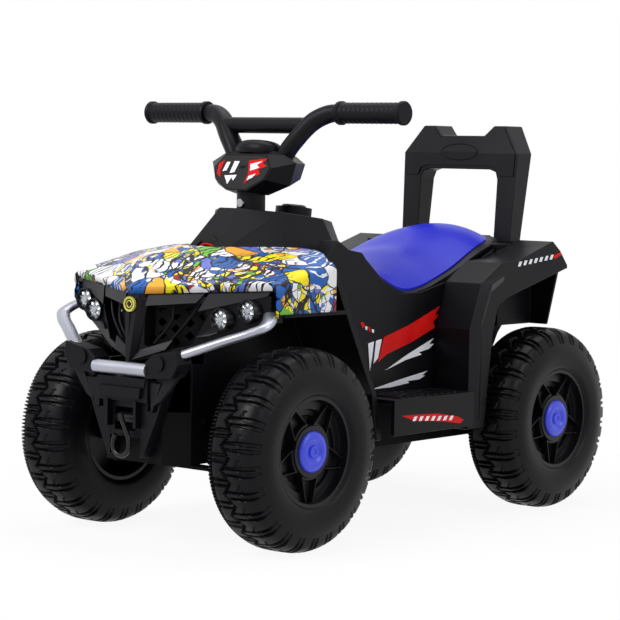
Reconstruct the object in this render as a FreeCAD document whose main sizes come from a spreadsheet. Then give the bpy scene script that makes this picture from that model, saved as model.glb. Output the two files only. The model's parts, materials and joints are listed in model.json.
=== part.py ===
import FreeCAD, Part
import math
import os
from types import SimpleNamespace

import Sketcher

# Kids quad bike. Forward is -Y, the rider's left is +X, +Z is up.
# The origin lies on the ground in the middle of the bike. Lengths are millimetres.

SIZES = {
    # stance
    "wheelbase": 482, "front_reach": 131, "track_width": 372,
    # fits
    "run_gap": 0.05, "press_gap": 0.02, "seat_gap": 0.3, "swing_gap": 0.8,
    # tyre
    "tyre_dia": 230, "tyre_width": 76, "bead_dia": 124, "bead_inset": 6,
    "shoulder_drop": 19, "shoulder_inset": 4, "crown_inset": 18,
    "tread_depth": 6, "lug_count": 12, "lug_slot": 10, "lug_margin": 2,
    # rim and hub cap
    "rim_lip": 4.5, "rim_wall": 4, "dish_depth": 18, "hub_dia": 57, "hub_inset": 4,
    "cap_dia": 43.5, "cap_seat": 6, "cap_dome": 5,
    "nut_room": 9, "boss_dia": 32, "boss_reach": 34,
    "spoke_count": 5, "rib_wide": 4.5, "rib_high": 11, "rib_root_angle": 7, "rib_tip_angle": 17,
    # axles and nuts
    "axle_dia": 10, "nut_across": 16, "nut_high": 6,
    # steering
    "kingpin_inset": 60, "kingpin_dia": 8,
    "knuckle_dia": 21, "knuckle_high": 19, "stub_boss_dia": 18, "fork_dia": 25, "fork_wall": 4.5,
    "steer_arm": 40, "arm_wide": 14, "arm_thick": 5, "link_pin_dia": 6, "link_thick": 4,
    "link_wide": 16, "pin_head_high": 2.5, "column_setback": 90, "column_dia": 16,
    # chassis pan
    "pan_drop": 20, "pan_high": 60, "pan_wall": 4, "pan_gap": 14, "pan_front_inset": 22,
    "pan_nose": 102, "pan_tail": 50, "floor_step": 1,
    # centre body
    "body_lap": 2, "body_tail": 12, "body_wall": 4, "shoulder_high": 23, "shoulder_wide": 26,
    "trough_drop": 43, "rear_wall": 70, "arch_step": 38,
    # leg shields and front fender
    "shield_foot": 149, "shield_sill": 138, "shield_head": 57, "shield_thick": 9, "shield_out": 48,
    "sill_rise": 12, "fender_wall": 4, "fender_deck_thick": 5,
    # hood
    "hood_wide": 316, "hood_corner": 150, "hood_skin": 4, "hood_skirt_rise": 153, "lip_rise": 174,
    "lip_corner_rise": 7, "lip_sweep": 67, "lip_setback": 23, "lip_gap": 4,
    "hood_lift": 13, "hood_dip": 14, "hood_brow": 54, "hood_fall": 11,
    # console
    "console_base_rise": 207, "console_high": 61, "console_fall": 19, "console_long": 208,
    "console_front": 95, "console_brow": 35.4, "console_gap": 2, "console_wall": 4,
    "boss_ring_dia": 44, "boss_ring_high": 13, "boss_back": 77, "start_dia": 30, "start_rise": 3,
    "rocker_wide": 13, "rocker_long": 22, "rocker_back": 38, "rocker_high": 8,
    # fascia, lamps and badge
    "fascia_thick": 20, "fascia_half": 148, "fascia_nose_rise": 94, "nose_half": 13, "nose_proud": 6,
    "lamp_dia": 23, "lamp_depth": 11, "lamp_wall": 1.6, "lens_thick": 3, "lamp_inner_x": 98.5,
    "lamp_outer_x": 127, "lamp_inner_rise": 145, "lamp_outer_rise": 154, "badge_dia": 17, "badge_thick": 3,
    "badge_rise": 159, "mesh_thick": 2.5, "mesh_hole": 11, "mesh_bar": 4,
    # bumper and winch
    "bar_dia": 13, "bar_rise": 88, "side_bar_dia": 15, "housing_gap": 78, "housing_wide": 47,
    "housing_high": 18, "housing_deep": 23, "cap_disc_dia": 17, "cap_disc_thick": 2.5, "chin_high": 28,
    "fairlead_wide": 46, "fairlead_high": 40, "fairlead_deep": 15, "fairlead_bar": 7,
    "drum_dia": 13, "hook_dia": 6, "hook_loop": 10, "hook_drop": 13,
    # seat and backrest
    "seat_long": 300, "seat_inset": 6, "seat_rise": 28, "seat_skin": 14, "seat_front_back": 45,
    "back_wide": 184, "back_taper": 4, "back_high": 151, "back_deep": 25, "back_lean": 8, "back_leg": 26,
    "back_shoulder_drop": 36, "back_horn_half": 67, "back_top_bar": 57, "back_setback": 2,
    "notch_half": 34, "notch_deep": 13, "oval_half": 20, "oval_high": 9,
    "screw_dia": 8, "screw_high": 2,
    # rear fender and footboards
    "deck_lift": 13, "deck_thick": 6, "fender_out": 56, "fender_skin": 5,
    "fender_foot_rise": -3, "leg_gap": 50, "leg_wide": 36, "tail_reach": 34,
    "flap_thick": 4, "board_out": 66, "board_thick": 5, "skirt_high": 42, "rib_rise": 1.5,
    # pedal
    "pedal_wide": 40, "pedal_long": 62, "pedal_thick": 5, "pedal_tilt": 14, "pedal_pin_dia": 5,
    "pedal_out": 35, "pedal_back": 95,
    # handlebar
    "bar_span": 400, "grip_lift": 69, "grip_long": 97, "grip_dia": 25, "flange_dia": 28, "flange_wide": 5,
    "tube_dia": 20, "riser_dia": 24, "cross_dia": 19, "stem_dia": 34, "grip_back": 36, "foot_share": 0.54,
    "riser_lift": 17, "bend_setback": 18, "bend_round": 20, "web_high": 17, "cross_lift": 54,
    "pod_half": 71, "pod_lift": 41, "pod_high": 62, "pod_deep": 78, "stem_drop": 8, "stem_bolt_dia": 6,
    # drive
    "battery_wide": 94, "battery_long": 70, "battery_high": 88, "gearbox_wide": 56, "gearbox_long": 74,
    "gearbox_high": 48, "dog_dia": 26, "cover_thick": 4, "socket_dia": 16, "socket_proud": 2,
}

doc = FreeCAD.newDocument("quad_bike")
sheet = doc.addObject("Spreadsheet::Sheet", "Sizes")
for row, (alias, value) in enumerate(SIZES.items(), start=1):
    sheet.set(f"A{row}", alias)
    sheet.set(f"B{row}", str(value))
    sheet.setAlias(f"B{row}", alias)
doc.recompute()

size = SimpleNamespace(**{alias: float(getattr(sheet, alias)) for alias in SIZES})

ORIGIN = FreeCAD.Vector(0, 0, 0)
ALONG_X = FreeCAD.Vector(1, 0, 0)
ALONG_Y = FreeCAD.Vector(0, 1, 0)
ALONG_Z = FreeCAD.Vector(0, 0, 1)
SIDES = {"left": 1, "right": -1}
OVERCUT = 20.0

# Places that many pieces share
tyre_r = size.tyre_dia / 2
axle_r = size.axle_dia / 2
front_y = (size.front_reach - size.wheelbase - tyre_r) / 2
rear_y = front_y + size.wheelbase
nose_y = front_y - size.front_reach
axle_z = tyre_r
wheel_x = (size.track_width - size.tyre_width) / 2
kingpin_x = wheel_x - size.kingpin_inset
column_y = front_y + size.column_setback
pan_z = axle_z - size.pan_drop
pan_top = pan_z + size.pan_high
boss_x = wheel_x - size.boss_reach
pan_half = boss_x - size.pan_gap
pan_front_half = kingpin_x - size.pan_front_inset
body_half = pan_half + size.body_lap
console_half = body_half - size.shoulder_wide - size.console_gap
shield_half = body_half + size.shield_out
fender_half = body_half + size.fender_out
board_half = body_half + size.board_out
pedal_x = body_half + size.pedal_out
sill_z = pan_top + size.sill_rise
board_z = pan_top + size.board_thick
link_top = pan_z - size.arm_thick
pan_front_y = front_y - size.pan_nose
pan_rear_y = rear_y + size.pan_tail
shield_foot_y = front_y + size.shield_foot
console_front_y = column_y - size.console_front
hood_skirt_z = axle_z + size.hood_skirt_rise
lip_z = axle_z + size.lip_rise
console_base_z = axle_z + size.console_base_rise
console_top_z = console_base_z + size.console_high
hood_rear_z = console_base_z + size.hood_lift
deck_z = console_base_z + size.deck_lift
back_z = deck_z + size.back_high
pod_z = console_top_z + size.pod_lift
foot_z = pod_z + size.riser_lift
cross_z = pod_z + size.cross_lift
grip_z = pod_z + size.grip_lift
fascia_nose_z = axle_z + size.fascia_nose_rise
lamp_inner_z = axle_z + size.lamp_inner_rise
lamp_outer_z = axle_z + size.lamp_outer_rise
badge_z = axle_z + size.badge_rise
bar_z = axle_z + size.bar_rise
fender_foot_z = axle_z + size.fender_foot_rise

# The same places as formulas, for pieces whose sketches are bound to the sheet
FRONT_Y = "(Sizes.front_reach - Sizes.wheelbase - Sizes.tyre_dia / 2) / 2"
REAR_Y = f"({FRONT_Y} + Sizes.wheelbase)"
LEG_Y = f"({REAR_Y} - Sizes.tyre_dia / 2 - Sizes.leg_gap)"
PAN_Z = "(Sizes.tyre_dia / 2 - Sizes.pan_drop)"
WHEEL_X = "(Sizes.track_width - Sizes.tyre_width) / 2"
BODY_HALF = f"({WHEEL_X} - Sizes.boss_reach - Sizes.pan_gap + Sizes.body_lap)"
BEAD_HALF = "(Sizes.tyre_width / 2 - Sizes.bead_inset)"
BARREL_R = "(Sizes.bead_dia / 2 - Sizes.press_gap)"
DISH_X = f"({BEAD_HALF} - Sizes.dish_depth)"
DISH_R = f"({BARREL_R} - Sizes.rim_lip)"
HUB_X = f"({BEAD_HALF} - Sizes.hub_inset)"
CAP_X = f"({HUB_X} - Sizes.cap_seat)"
NUT_X = f"({CAP_X} - Sizes.nut_room)"

nodes = []


def formula(text):
    """The present value of a formula written in the sheet's words."""
    return float(sheet.evalExpression(text))


def keep(item, label):
    """Name a finished piece and list it for writing."""
    item.Label = label
    nodes.append(item)
    return item


def add_shape(label, shape):
    """Keep a shape made by code as a piece of its own."""
    item = doc.addObject("Part::Feature", label)
    item.Shape = shape
    return keep(item, label)


def spot(x, y, z):
    return FreeCAD.Vector(x, y, z)


def closed(points):
    """Closed outline of straight edges."""
    return Part.makePolygon(list(points) + [points[0]])


def prism_x(outline, low, high):
    """Side outline of (y, z) points, run from x = low to x = high."""
    face = Part.Face(closed([spot(low, y, z) for y, z in outline]))
    return face.extrude(ALONG_X * (high - low))


def prism_y(outline, low, high):
    """Front outline of (x, z) points, run from y = low to y = high."""
    face = Part.Face(closed([spot(x, low, z) for x, z in outline]))
    return face.extrude(ALONG_Y * (high - low))


def prism_z(outline, low, high):
    """Plan outline of (x, y) points, run from z = low to z = high."""
    face = Part.Face(closed([spot(x, y, low) for x, y in outline]))
    return face.extrude(ALONG_Z * (high - low))


def block(x_low, x_high, y_low, y_high, z_low, z_high):
    """Box between two corners."""
    return Part.makeBox(x_high - x_low, y_high - y_low, z_high - z_low, spot(x_low, y_low, z_low))


def faceted(rings):
    """Solid of flat facets through rings of points; the first and the last ring close it."""
    faces = [Part.Face(closed(rings[0])), Part.Face(closed(rings[-1]))]
    for ring, after in zip(rings, rings[1:]):
        for index in range(len(ring)):
            following = (index + 1) % len(ring)
            faces.append(Part.Face(closed([ring[index], ring[following], after[following]])))
            faces.append(Part.Face(closed([ring[index], after[following], after[index]])))
    solid = Part.Solid(Part.makeShell(faces))
    if solid.Volume < 0:
        solid.reverse()
    return solid


def mirrored(shape):
    """The same shape on the other side of the bike."""
    return shape.mirror(ORIGIN, ALONG_X)


def full_width(half_points):
    """Plan or front outline from its right half, listed from the middle line round to it."""
    return list(half_points) + [(-a, b) for a, b in reversed(half_points) if abs(a) > 1e-9]


def pipe(points, radius, bend):
    """Round rod along straight runs whose corners are rounded by the bend radius."""
    pieces = []
    start = points[0]
    for corner, after in zip(points[1:-1], points[2:]):
        to_back = (start - corner).normalize()
        to_front = (after - corner).normalize()
        half = to_back.getAngle(to_front) / 2
        reach = bend / math.tan(half)
        middle = (to_back + to_front).normalize()
        centre = corner + middle * (bend / math.sin(half))
        arc_start = corner + to_back * reach
        pieces.append(Part.makeCylinder(radius, (arc_start - start).Length, start, -to_back))
        disc = Part.Face(Part.Wire(Part.Circle(arc_start, -to_back, radius).toShape()))
        axis = to_front.cross(to_back)
        pieces.append(disc.revolve(centre, axis, 180 - math.degrees(2 * half)))
        start = corner + to_front * reach
    pieces.append(Part.makeCylinder(radius, (points[-1] - start).Length, start, points[-1] - start))
    return pieces[0].multiFuse(pieces[1:])


def origin_part(body, role):
    """Plane or axis of a body's own origin."""
    return next(item for item in body.Origin.OriginFeatures if item.Role == role)


def bound_sketch(body, name, plane, outlines):
    """Sketch of closed outlines whose corners follow formulas in the sheet's words."""
    sketch = body.newObject("Sketcher::SketchObject", name)
    sketch.AttachmentSupport = [(origin_part(body, plane), "")]
    sketch.MapMode = "FlatFace"
    for outline in outlines:
        first = sketch.GeometryCount
        count = len(outline)
        places = [spot(formula(across), formula(up), 0) for across, up in outline]
        for index in range(count):
            sketch.addGeometry(Part.LineSegment(places[index], places[(index + 1) % count]))
        for index in range(count):
            after = first + (index + 1) % count
            sketch.addConstraint(Sketcher.Constraint("Coincident", first + index, 2, after, 1))
        for index, (across, up) in enumerate(outline):
            place = places[index]
            for kind, text, value in (("DistanceX", across, place.x), ("DistanceY", up, place.y)):
                rule = sketch.addConstraint(Sketcher.Constraint(kind, -1, 1, first + index, 1, value))
                rule_name = f"{kind[-1].lower()}_{first + index}"
                sketch.renameConstraint(rule, rule_name)
                sketch.setExpression(f"Constraints.{rule_name}", text)
    return sketch


def turned_body(name, outline):
    """Body turned about its own X axis from an outline of (x, radius) formulas."""
    body = doc.addObject("PartDesign::Body", name)
    sketch = bound_sketch(body, name + "_outline", "XZ_Plane", [outline])
    turn = body.newObject("PartDesign::Revolution", name + "_turn")
    turn.Profile = sketch
    turn.ReferenceAxis = (sketch, ["H_Axis"])
    turn.Angle = 360
    return body


def padded_body(name, plane, outlines, length, offset):
    """Body raised from outlines on an origin plane, both depth and start bound to the sheet."""
    body = doc.addObject("PartDesign::Body", name)
    sketch = bound_sketch(body, name + "_outline", plane, outlines)
    sketch.setExpression("AttachmentOffset.Base.z", offset)
    pad = body.newObject("PartDesign::Pad", name + "_pad")
    pad.Profile = sketch
    pad.setExpression("Length", length)
    return body


def place_body(body, x, y, z):
    """Bind a body's place to the sheet."""
    for axis, text in zip("xyz", (x, y, z)):
        body.setExpression(f"Placement.Base.{axis}", text)


# Wheels

def tyre_form():
    """Tyre about the X axis: flat crown, sloping shoulders with staggered lug slots, and convex walls."""
    half = size.tyre_width / 2
    bead_r = size.bead_dia / 2
    shoulder_r = tyre_r - size.shoulder_drop
    shoulder_x = half - size.shoulder_inset
    crown_x = half - size.crown_inset
    wall_r = (bead_r + shoulder_r) / 2
    profile = full_width([
        (crown_x, tyre_r), (shoulder_x, shoulder_r), (half, wall_r), (half - size.bead_inset, bead_r),
    ])
    section = Part.Face(closed([spot(x, 0, radius) for x, radius in profile]))
    tyre = section.revolve(ORIGIN, ALONG_X, 360)
    slot_x = crown_x + size.lug_margin
    floor_r = shoulder_r - size.tread_depth
    clear = half + size.tyre_width
    slot_line = [
        (slot_x, clear + tyre_r), (slot_x, tyre_r - size.tread_depth), (shoulder_x, floor_r),
        (clear, floor_r), (clear, clear + tyre_r),
    ]
    section = Part.Face(closed([spot(x, 0, radius) for x, radius in slot_line]))
    slot = section.revolve(ORIGIN, ALONG_X, math.degrees(size.lug_slot / tyre_r))
    step = 360 / size.lug_count
    slots = []
    for index in range(int(size.lug_count)):
        for form, turn in ((slot, 0), (mirrored(slot), step / 2)):
            slots.append(form.copy().rotate(ORIGIN, ALONG_X, step * index + turn))
    return tyre.cut(Part.makeCompound(slots))


def rim_body(name):
    """Rim: barrel, sunken dish, hub with a well for cap and nut, and paired ribs for the spokes."""
    bore = "(Sizes.axle_dia / 2 + Sizes.run_gap)"
    body = turned_body(name, [
        (f"-{BEAD_HALF}", BARREL_R),
        (BEAD_HALF, BARREL_R),
        (BEAD_HALF, DISH_R),
        (DISH_X, DISH_R),
        (DISH_X, "Sizes.hub_dia / 2"),
        (HUB_X, "Sizes.hub_dia / 2"),
        (HUB_X, "Sizes.cap_dia / 2 + Sizes.press_gap"),
        (NUT_X, "Sizes.cap_dia / 2 + Sizes.press_gap"),
        (NUT_X, bore),
        ("-Sizes.boss_reach", bore),
        ("-Sizes.boss_reach", "Sizes.boss_dia / 2"),
        (f"{DISH_X} - Sizes.rim_wall", "Sizes.boss_dia / 2"),
        (f"{DISH_X} - Sizes.rim_wall", f"{DISH_R} - Sizes.rim_wall"),
        (f"-{BEAD_HALF}", f"{BARREL_R} - Sizes.rim_wall"),
    ])
    root_r = "(Sizes.hub_dia / 2 - Sizes.rim_wall / 2)"
    tip_r = f"({DISH_R} + Sizes.rim_wall / 4)"
    ribs = []
    for side in ("1", "-1"):
        root_x = f"{side} * {root_r} * sin(Sizes.rib_root_angle * 1 deg)"
        tip_x = f"{side} * {tip_r} * sin(Sizes.rib_tip_angle * 1 deg)"
        root_z = f"{root_r} * cos(Sizes.rib_root_angle * 1 deg)"
        tip_z = f"{tip_r} * cos(Sizes.rib_tip_angle * 1 deg)"
        ribs.append([
            (f"{root_x} - Sizes.rib_wide / 2", root_z),
            (f"{root_x} + Sizes.rib_wide / 2", root_z),
            (f"{tip_x} + Sizes.rib_wide / 2", tip_z),
            (f"{tip_x} - Sizes.rib_wide / 2", tip_z),
        ])
    sketch = bound_sketch(body, name + "_ribs", "YZ_Plane", ribs)
    sketch.setExpression("AttachmentOffset.Base.z", f"{DISH_X} - Sizes.rim_wall / 2")
    pad = body.newObject("PartDesign::Pad", name + "_rib_pair")
    pad.Profile = sketch
    pad.setExpression("Length", "Sizes.rib_high + Sizes.rim_wall / 2")
    spokes = body.newObject("PartDesign::PolarPattern", name + "_spokes")
    spokes.Originals = [pad]
    spokes.Axis = (origin_part(body, "X_Axis"), [""])
    spokes.Angle = 360
    spokes.setExpression("Occurrences", "Sizes.spoke_count")
    body.Tip = spokes
    return body


def cap_body(name):
    """Domed hub cap: a disc with a broad chamfer."""
    return turned_body(name, [
        (CAP_X, "0"),
        (CAP_X, "Sizes.cap_dia / 2"),
        (f"{HUB_X} + Sizes.cap_dome / 3", "Sizes.cap_dia / 2"),
        (f"{HUB_X} + Sizes.cap_dome", "Sizes.cap_dia / 2 - Sizes.cap_dome"),
        (f"{HUB_X} + Sizes.cap_dome", "0"),
    ])


def build_wheels():
    """Four wheels, each a tyre, a rim and a cap, all with the outer face away from the bike."""
    form = tyre_form()
    for end, axle in (("front", FRONT_Y), ("rear", REAR_Y)):
        for side, way in SIDES.items():
            spin = FreeCAD.Rotation(ALONG_Z, 0 if way > 0 else 180)
            place = FreeCAD.Placement(spot(way * wheel_x, formula(axle), axle_z), spin)
            tyre = add_shape(f"tyre_{end}_{side}", form.copy())
            tyre.Placement = place
            for piece, make in (("rim", rim_body), ("hub_cap", cap_body)):
                body = keep(make(f"{piece}_{end}_{side}"), f"{piece}_{end}_{side}")
                body.Placement.Rotation = spin
                place_body(body, f"{way} * {WHEEL_X}", axle, "Sizes.tyre_dia / 2")


# Axles, knuckles and steering

nut_x = wheel_x + formula(NUT_X)
axle_end = nut_x + size.seat_gap + size.nut_high
knuckle_low = axle_z - size.knuckle_high / 2
knuckle_top = axle_z + size.knuckle_high / 2


def hex_nut(x_start, way):
    """Hexagon nut about the axle line, from x_start outwards."""
    corner = size.nut_across / math.sqrt(3)
    turns = [index * math.pi / 3 for index in range(6)]
    ring = [spot(x_start, corner * math.cos(turn), corner * math.sin(turn)) for turn in turns]
    nut = Part.Face(closed(ring)).extrude(ALONG_X * way * size.nut_high)
    bore = Part.makeCylinder(axle_r + size.press_gap, size.nut_high, spot(x_start, 0, 0), ALONG_X * way)
    return nut.cut(bore)


def build_rear_axle():
    """Rear axle through the pan, its two nuts under the hub caps, and the drive dog of the left wheel."""
    axle = doc.addObject("Part::Cylinder", "rear_axle_bar")
    axle.setExpression("Radius", "Sizes.axle_dia / 2")
    axle.setExpression("Height", f"2 * ({WHEEL_X} + {NUT_X} + Sizes.seat_gap + Sizes.nut_high)")
    axle.Placement.Rotation = FreeCAD.Rotation(ALONG_Y, 90)
    axle.setExpression("Placement.Base.x", f"-({WHEEL_X} + {NUT_X} + Sizes.seat_gap + Sizes.nut_high)")
    axle.setExpression("Placement.Base.y", REAR_Y)
    axle.setExpression("Placement.Base.z", "Sizes.tyre_dia / 2")
    keep(axle, "rear_axle")
    pair = [hex_nut(way * (nut_x + size.seat_gap), way) for way in SIDES.values()]
    nuts = add_shape("rear_axle_nuts", Part.makeCompound(pair))
    nuts.Placement.Base = spot(0, rear_y, axle_z)
    inner_end = "-Sizes.boss_reach - Sizes.pan_gap - Sizes.pan_wall - Sizes.seat_gap - Sizes.rim_wall"
    dog = turned_body("drive_dog", [
        (inner_end, "Sizes.axle_dia / 2 + Sizes.run_gap"),
        ("-Sizes.boss_reach", "Sizes.axle_dia / 2 + Sizes.run_gap"),
        ("-Sizes.boss_reach", "Sizes.dog_dia / 2"),
        (inner_end, "Sizes.dog_dia / 2"),
    ])
    place_body(dog, WHEEL_X, REAR_Y, "Sizes.tyre_dia / 2")
    keep(dog, "drive_dog")


fork_low = knuckle_low - size.seat_gap - size.fork_wall
fork_top = knuckle_top + size.seat_gap + size.fork_wall


def build_front_axle():
    """Beam with forked ends, king pins, knuckles with arms and stub axles with nuts."""
    radius = size.fork_dia / 2
    tall = fork_top - fork_low
    reach = kingpin_x + radius
    beam = block(-reach, reach, front_y - radius, front_y + radius, fork_low, fork_top)
    for way in SIDES.values():
        inner = kingpin_x - size.knuckle_dia / 2 - size.fork_wall
        pocket = block(inner, reach + OVERCUT, front_y - radius - OVERCUT, front_y + radius + OVERCUT,
                       knuckle_low - size.seat_gap, knuckle_top + size.seat_gap)
        bore = Part.makeCylinder(size.kingpin_dia / 2 + size.press_gap, tall + 2 * OVERCUT,
                                 spot(way * kingpin_x, front_y, fork_low - OVERCUT))
        beam = beam.cut(pocket if way > 0 else mirrored(pocket)).cut(bore)
    add_shape("front_axle_beam", beam)

    pins = []
    for way in SIDES.values():
        pins.append(Part.makeCylinder(size.kingpin_dia / 2, tall, spot(way * kingpin_x, front_y, fork_low)))
    add_shape("king_pins", Part.makeCompound(pins))

    for side, way in SIDES.items():
        middle = spot(way * kingpin_x, front_y, 0)
        barrel = Part.makeCylinder(size.knuckle_dia / 2, size.knuckle_high, middle + ALONG_Z * knuckle_low)
        reach = boss_x - size.seat_gap - kingpin_x
        boss = Part.makeCylinder(size.stub_boss_dia / 2, reach, middle + ALONG_Z * axle_z, ALONG_X * way)
        pin_y = front_y - size.steer_arm
        arm = block(way * kingpin_x - size.arm_wide / 2, way * kingpin_x + size.arm_wide / 2,
                    pin_y, front_y, knuckle_low, knuckle_low + size.arm_thick)
        tip = Part.makeCylinder(size.arm_wide / 2, size.arm_thick, spot(way * kingpin_x, pin_y, knuckle_low))
        drop = knuckle_low - link_top + size.link_thick + size.seat_gap
        foot = knuckle_low - drop
        pin = Part.makeCylinder(size.link_pin_dia / 2, drop, spot(way * kingpin_x, pin_y, foot))
        head = Part.makeCylinder(size.link_pin_dia / 2 + size.pin_head_high, size.pin_head_high,
                                 spot(way * kingpin_x, pin_y, foot - size.pin_head_high))
        king_bore = Part.makeCylinder(size.kingpin_dia / 2 + size.run_gap, size.knuckle_high + 2,
                                      middle + ALONG_Z * (knuckle_low - 1))
        stub_start = size.kingpin_dia / 2 + size.fork_wall / 2
        stub_x = way * (kingpin_x + stub_start)
        stub_bore = Part.makeCylinder(axle_r + size.press_gap, reach,
                                      spot(stub_x, front_y, axle_z), ALONG_X * way)
        knuckle = barrel.multiFuse([boss, arm, tip, pin, head]).cut(king_bore).cut(stub_bore)
        add_shape(f"knuckle_{side}", knuckle.removeSplitter())
        stub = Part.makeCylinder(axle_r, axle_end - kingpin_x - stub_start,
                                 spot(stub_x, front_y, axle_z), ALONG_X * way)
        nut = hex_nut(way * (nut_x + size.seat_gap), way)
        nut.translate(spot(0, front_y, axle_z))
        add_shape(f"stub_axle_{side}", stub)
        add_shape(f"axle_nut_front_{side}", nut)


column_top = foot_z - size.riser_dia / 2


def build_steering():
    """Column with the crank at its foot, and the T-shaped link that hangs on the three pins."""
    crank_y = column_y - size.steer_arm
    crank_low = link_top + size.seat_gap
    crank_top = pan_z - size.seat_gap
    crank_thick = crank_top - crank_low
    shaft = Part.makeCylinder(size.column_dia / 2, column_top - crank_low, spot(0, column_y, crank_low))
    arm = block(-size.arm_wide / 2, size.arm_wide / 2, crank_y, column_y, crank_low, crank_top)
    tip = Part.makeCylinder(size.arm_wide / 2, crank_thick, spot(0, crank_y, crank_low))
    pin_low = link_top - size.link_thick - size.seat_gap
    pin = Part.makeCylinder(size.link_pin_dia / 2, crank_low - pin_low, spot(0, crank_y, pin_low))
    head = Part.makeCylinder(size.link_pin_dia / 2 + size.pin_head_high, size.pin_head_high,
                             spot(0, crank_y, pin_low - size.pin_head_high))
    add_shape("steering_column", shaft.multiFuse([arm, tip, pin, head]).removeSplitter())

    low = link_top - size.link_thick
    bar_y = front_y - size.steer_arm
    half = size.link_wide / 2
    bar = block(-kingpin_x - half, kingpin_x + half, bar_y - half, bar_y + half, low, link_top)
    tongue = block(-half, half, bar_y, crank_y + half, low, link_top)
    link = bar.fuse(tongue).removeSplitter()
    holes = [Part.makeCylinder(size.link_pin_dia / 2 + size.run_gap, size.link_thick, spot(x, y, low))
             for x, y in ((kingpin_x, bar_y), (-kingpin_x, bar_y), (0, crank_y))]
    add_shape("steering_link", link.cut(Part.makeCompound(holes)))


# Chassis pan and drive

def pan_plan(inset):
    """Half plan of the pan: narrow between the front wheels, wide from the leg shields back."""
    front_half = pan_front_half - inset
    half = pan_half - inset
    nose_half = front_half - size.lip_setback
    neck = shield_foot_y
    return full_width([
        (nose_half, pan_front_y + inset),
        (front_half, pan_front_y + inset + size.lip_setback),
        (front_half, neck - (half - front_half) + inset / 2),
        (half, neck + inset / 2),
        (half, pan_rear_y - inset),
    ])


def build_pan():
    """Open tub, its floor stepped up over the steering link, with an axle slot and holes for shafts."""
    pan = prism_z(pan_plan(0), pan_z, pan_top)
    pan = pan.cut(prism_z(pan_plan(size.pan_wall), pan_z + size.pan_wall, pan_top + OVERCUT))
    clear = pan_half + OVERCUT
    step = block(-clear, clear, pan_front_y, shield_foot_y, pan_z, pan_z + size.floor_step)
    radius = size.fork_dia / 2 + size.seat_gap
    slot = block(-clear, clear, front_y - radius, front_y + radius,
                 fork_low - size.seat_gap, fork_top + size.seat_gap)
    column_hole = Part.makeCylinder(size.column_dia / 2 + size.run_gap, 3 * size.pan_wall,
                                    spot(0, column_y, pan_z - size.pan_wall))
    axle_hole = Part.makeCylinder(axle_r + size.press_gap, 2 * clear, spot(-clear, rear_y, axle_z), ALONG_X)
    dog_hole = Part.makeCylinder(size.dog_dia / 2 + size.swing_gap, clear, spot(0, rear_y, axle_z), ALONG_X)
    add_shape("chassis_pan", pan.cut(step).cut(slot).cut(column_hole).cut(axle_hole).cut(dog_hole))


def build_drive():
    """Battery in the pan, gearbox round the rear axle, cover over both wheels' middle."""
    floor = f"({PAN_Z} + Sizes.pan_wall)"
    half = "Sizes.battery_wide / 2"
    battery = padded_body("battery_case", "XY_Plane", [[
        (f"-{half}", "0"), (half, "0"), (half, "Sizes.battery_long"), (f"-{half}", "Sizes.battery_long"),
    ]], "Sizes.battery_high", floor)
    doc.recompute()
    solid = battery.Tip
    rounding = battery.newObject("PartDesign::Fillet", "battery_edges")
    upright = [f"Edge{i}" for i, edge in enumerate(battery.Shape.Edges, 1)
               if abs(edge.tangentAt(edge.FirstParameter).z) > 0.9]
    rounding.Base = (solid, upright)
    rounding.setExpression("Radius", "Sizes.pan_wall")
    keep(battery, "battery")

    outer = pan_half - size.pan_wall - size.seat_gap
    inner = outer - size.gearbox_wide
    low = pan_z + size.pan_wall
    case = block(inner, outer, rear_y - size.gearbox_long / 2, rear_y + size.gearbox_long / 2,
                 low, low + size.gearbox_high)
    motor_r = size.gearbox_high / 2 - size.pan_wall
    motor_y = rear_y - size.gearbox_long / 4
    motor_z = low + motor_r + size.seat_gap
    motor = Part.makeCylinder(motor_r, size.gearbox_wide, spot(inner, motor_y, motor_z), -ALONG_X)
    bore = Part.makeCylinder(axle_r + size.seat_gap, 2 * size.gearbox_wide,
                             spot(outer, rear_y, axle_z), -ALONG_X)
    socket = Part.makeCylinder(size.dog_dia / 2 + size.swing_gap, size.rim_wall + size.seat_gap,
                               spot(outer, rear_y, axle_z), -ALONG_X)
    add_shape("gearbox", case.fuse(motor).cut(bore).cut(socket))


# Leg shields, centre body and seat

shield_sill_y = front_y + size.shield_sill
shield_head_y = front_y + size.shield_head


def shield_line(z):
    """Front face of the leg shields at a height: a steep foot up to the sill, then the long slope."""
    if z < sill_z:
        share = (sill_z - z) / (sill_z - fender_foot_z)
        return shield_sill_y + share * (shield_foot_y - shield_sill_y)
    share = (z - sill_z) / (console_base_z - sill_z)
    return shield_sill_y + share * (shield_head_y - shield_sill_y)


seat_front_y = shield_sill_y + size.seat_front_back
seat_rear_y = seat_front_y + size.seat_long
deck_low = deck_z - size.deck_thick
body_rear = seat_rear_y + size.body_tail
leg_y = rear_y - tyre_r - size.leg_gap
trough_z = console_base_z - size.trough_drop
deck_front = seat_front_y + 0.88 * size.seat_long


def trough_outline(lift):
    """Side outline of the seat trough, from the console back to the deck, raised by lift."""
    long = size.seat_long
    return [
        (seat_front_y, console_base_z + lift),
        (seat_front_y + 0.13 * long, trough_z + 0.3 * size.trough_drop + lift),
        (seat_front_y + 0.23 * long, trough_z + lift),
        (seat_front_y + 0.36 * long, trough_z + lift),
        (seat_front_y + 0.56 * long, trough_z + 0.3 * size.trough_drop + lift),
        (deck_front, deck_low + lift),
    ]


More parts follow.
